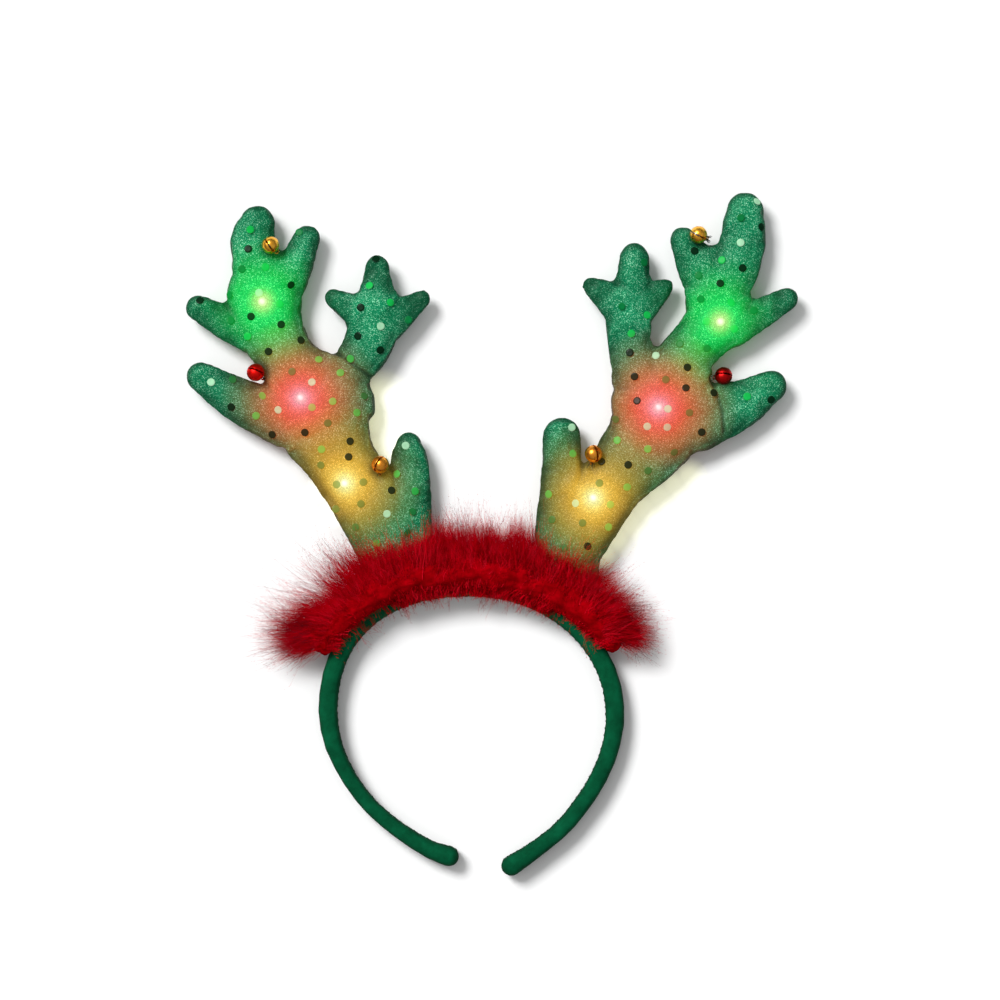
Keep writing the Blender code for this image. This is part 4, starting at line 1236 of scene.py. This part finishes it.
# Flat tapering ribbons for the barbs, and one small blade for each barbule
def buildStrands(name, spine, kinds, width, blades, draw, finishes):
    count, rows = spine.shape[:2]
    tangent = np.gradient(spine, axis=1)
    tangent /= np.maximum(np.linalg.norm(tangent, axis=2, keepdims=True), 1e-9)
    turn = draw.normal(size=(count, 1, 3))
    side = np.cross(tangent, turn)
    side /= np.maximum(np.linalg.norm(side, axis=2, keepdims=True), 1e-9)
    t = np.linspace(0.0, 1.0, rows)
    half = width / 2 * (1.0 - 0.85 * t ** 1.3)
    left = spine - side * half[None, :, None]
    right = spine + side * half[None, :, None]
    verts = np.stack([left, right], axis=2).reshape(-1, 3)
    base = (np.arange(count) * rows * 2)[:, None] + (np.arange(rows - 1) * 2)[None, :]
    quads = np.stack([base, base + 1, base + 3, base + 2], axis=2).reshape(-1, 4)
    at = draw.uniform(0.12, 0.98, size=(count, blades)) * (rows - 1)
    low = np.clip(at.astype(int), 0, rows - 2)
    part = (at - low)[:, :, None]
    index = np.arange(count)[:, None]
    foot = spine[index, low] * (1 - part) + spine[index, low + 1] * part
    along = tangent[index, low]
    across = side[index, low]
    other = np.cross(along, across)
    angle = draw.uniform(0, 2 * np.pi, size=(count, blades))[:, :, None]
    out = across * np.cos(angle) + other * np.sin(angle)
    way = out * 0.8 + along * 0.75
    size = marabou["barbule"] * draw.uniform(0.5, 1.2, size=(count, blades))[:, :, None]
    tip = foot + way * size * (1.1 - 0.6 * at[:, :, None] / rows)
    wide = along * marabou["barbuleWidth"]
    triangles = np.stack([foot - wide, foot + wide, tip], axis=2).reshape(-1, 3)
    triangles[:, 2] = np.maximum(triangles[:, 2], 0.15 * mm)
    first = len(verts)
    verts = np.concatenate([verts, triangles])
    faces = quads.tolist() + (first + np.arange(len(triangles))).reshape(-1, 3).tolist()
    mesh = bpy.data.meshes.new(name)
    mesh.from_pydata(verts.tolist(), [], faces)
    mesh.update()
    for finish in finishes:
        mesh.materials.append(finish)
    quadKinds = np.repeat(kinds, rows - 1)
    bladeKinds = np.repeat(kinds, blades)
    mesh.polygons.foreach_set("material_index", np.concatenate([quadKinds, bladeKinds]).astype(np.int32))
    mesh.shade_smooth()
    piece = linked(name, mesh)
    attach(piece, "root")
    print(name, count, "strands,", len(quads) * 2 + len(triangles) // 3, "triangles")


# Floor, with the light that the lowest lenses spill beside the cloth. Rows: pixel, reach in millimetres.

spill = {
    "places": (((381, 400), 19.0), ((382, 422), 19.0), ((383, 444), 15.0), ((322, 488), 10.0),
               ((334, 512), 10.0), ((602, 550), 13.0), ((616, 536), 15.0), ((631, 523), 16.0),
               ((646, 510), 16.0), ((661, 498), 15.0), ((676, 487), 14.0), ((690, 478), 12.0)),
    "colour": (0.46, 0.46, 0.27),
}


def makeFloor():
    size = studio["floorSize"] / 2
    bm = bmesh.new()
    corners = [bm.verts.new((x * size, y * size, -0.1 * mm)) for x, y in ((-1, -1), (1, -1), (1, 1), (-1, 1))]
    bm.faces.new(corners)
    made, tree, shader = newMaterial("paleFloor")
    place = here(tree)
    warmth = None
    for (px, py), reach in spill["places"]:
        far = vectorMaths(tree, "DISTANCE", place, fromPhoto(px, py)[:]).outputs["Value"]
        fade = ((0.2, grey(1.0)), (1.0, grey(0.0)))
        one = ramp(tree, maths(tree, "DIVIDE", far, reach * mm), fade, "EASE").outputs["Color"]
        warmth = one if warmth is None else maths(tree, "MAXIMUM", warmth, one)
    shader.inputs["Base Color"].default_value = (*studio["floorColour"], 1.0)
    tree.links.new(mixColour(tree, warmth, grey(0.0), spill["colour"]), shader.inputs["Emission Color"])
    shader.inputs["Emission Strength"].default_value = 1.0
    shader.inputs["Roughness"].default_value = 0.6
    shader.inputs["Specular IOR Level"].default_value = 0.1
    floor = pieceFrom(bm, "floor", [made])


setUpCamera()
setUpStudio()
print("camera and light ready")
clothFinish = makeGlitterCloth()
sequinFinishes = [makeSequinFinish(name, *look) for name, share, *look in sequins["kinds"]]
for cadName, pieceName in (("antler_left", "stuffedAntlerLeft"), ("antler_right", "stuffedAntlerRight")):
    antler = makeAntler(cadName, pieceName, clothFinish)
    makeSequins(antler, cadName, pieceName.replace("stuffedAntler", "sequins"), sequinFinishes)
makeLenses()
makeBells()
bandPiece = makeHeadband(makeVelvet())
makeBandStitches(bandPiece)
deepFur = makeMarabouFinish("marabouDeep", (0.17, 0.0, 0.001), (0.34, 0.0, 0.003))
brightFur = makeMarabouFinish("marabouBright", (0.36, 0.0, 0.003), (0.60, 0.0, 0.008))
paleFur = makeMarabouFinish("marabouPale", (0.48, 0.001, 0.008), (0.68, 0.008, 0.022))
hairFur = makeMarabouFinish("marabouHair", (0.08, 0.004, 0.008), (0.20, 0.01, 0.02))
makeMarabouCore(deepFur)
makeMarabou([deepFur, brightFur, brightFur, paleFur], [hairFur, deepFur])
makeFloor()

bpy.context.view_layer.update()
triangles = {piece.name: sum(len(face.vertices) - 2 for face in piece.data.polygons)
             for piece in bpy.data.objects if piece.type == "MESH"}
print("triangles", sum(triangles.values()), "and at most", max(triangles.values()), "in one piece")
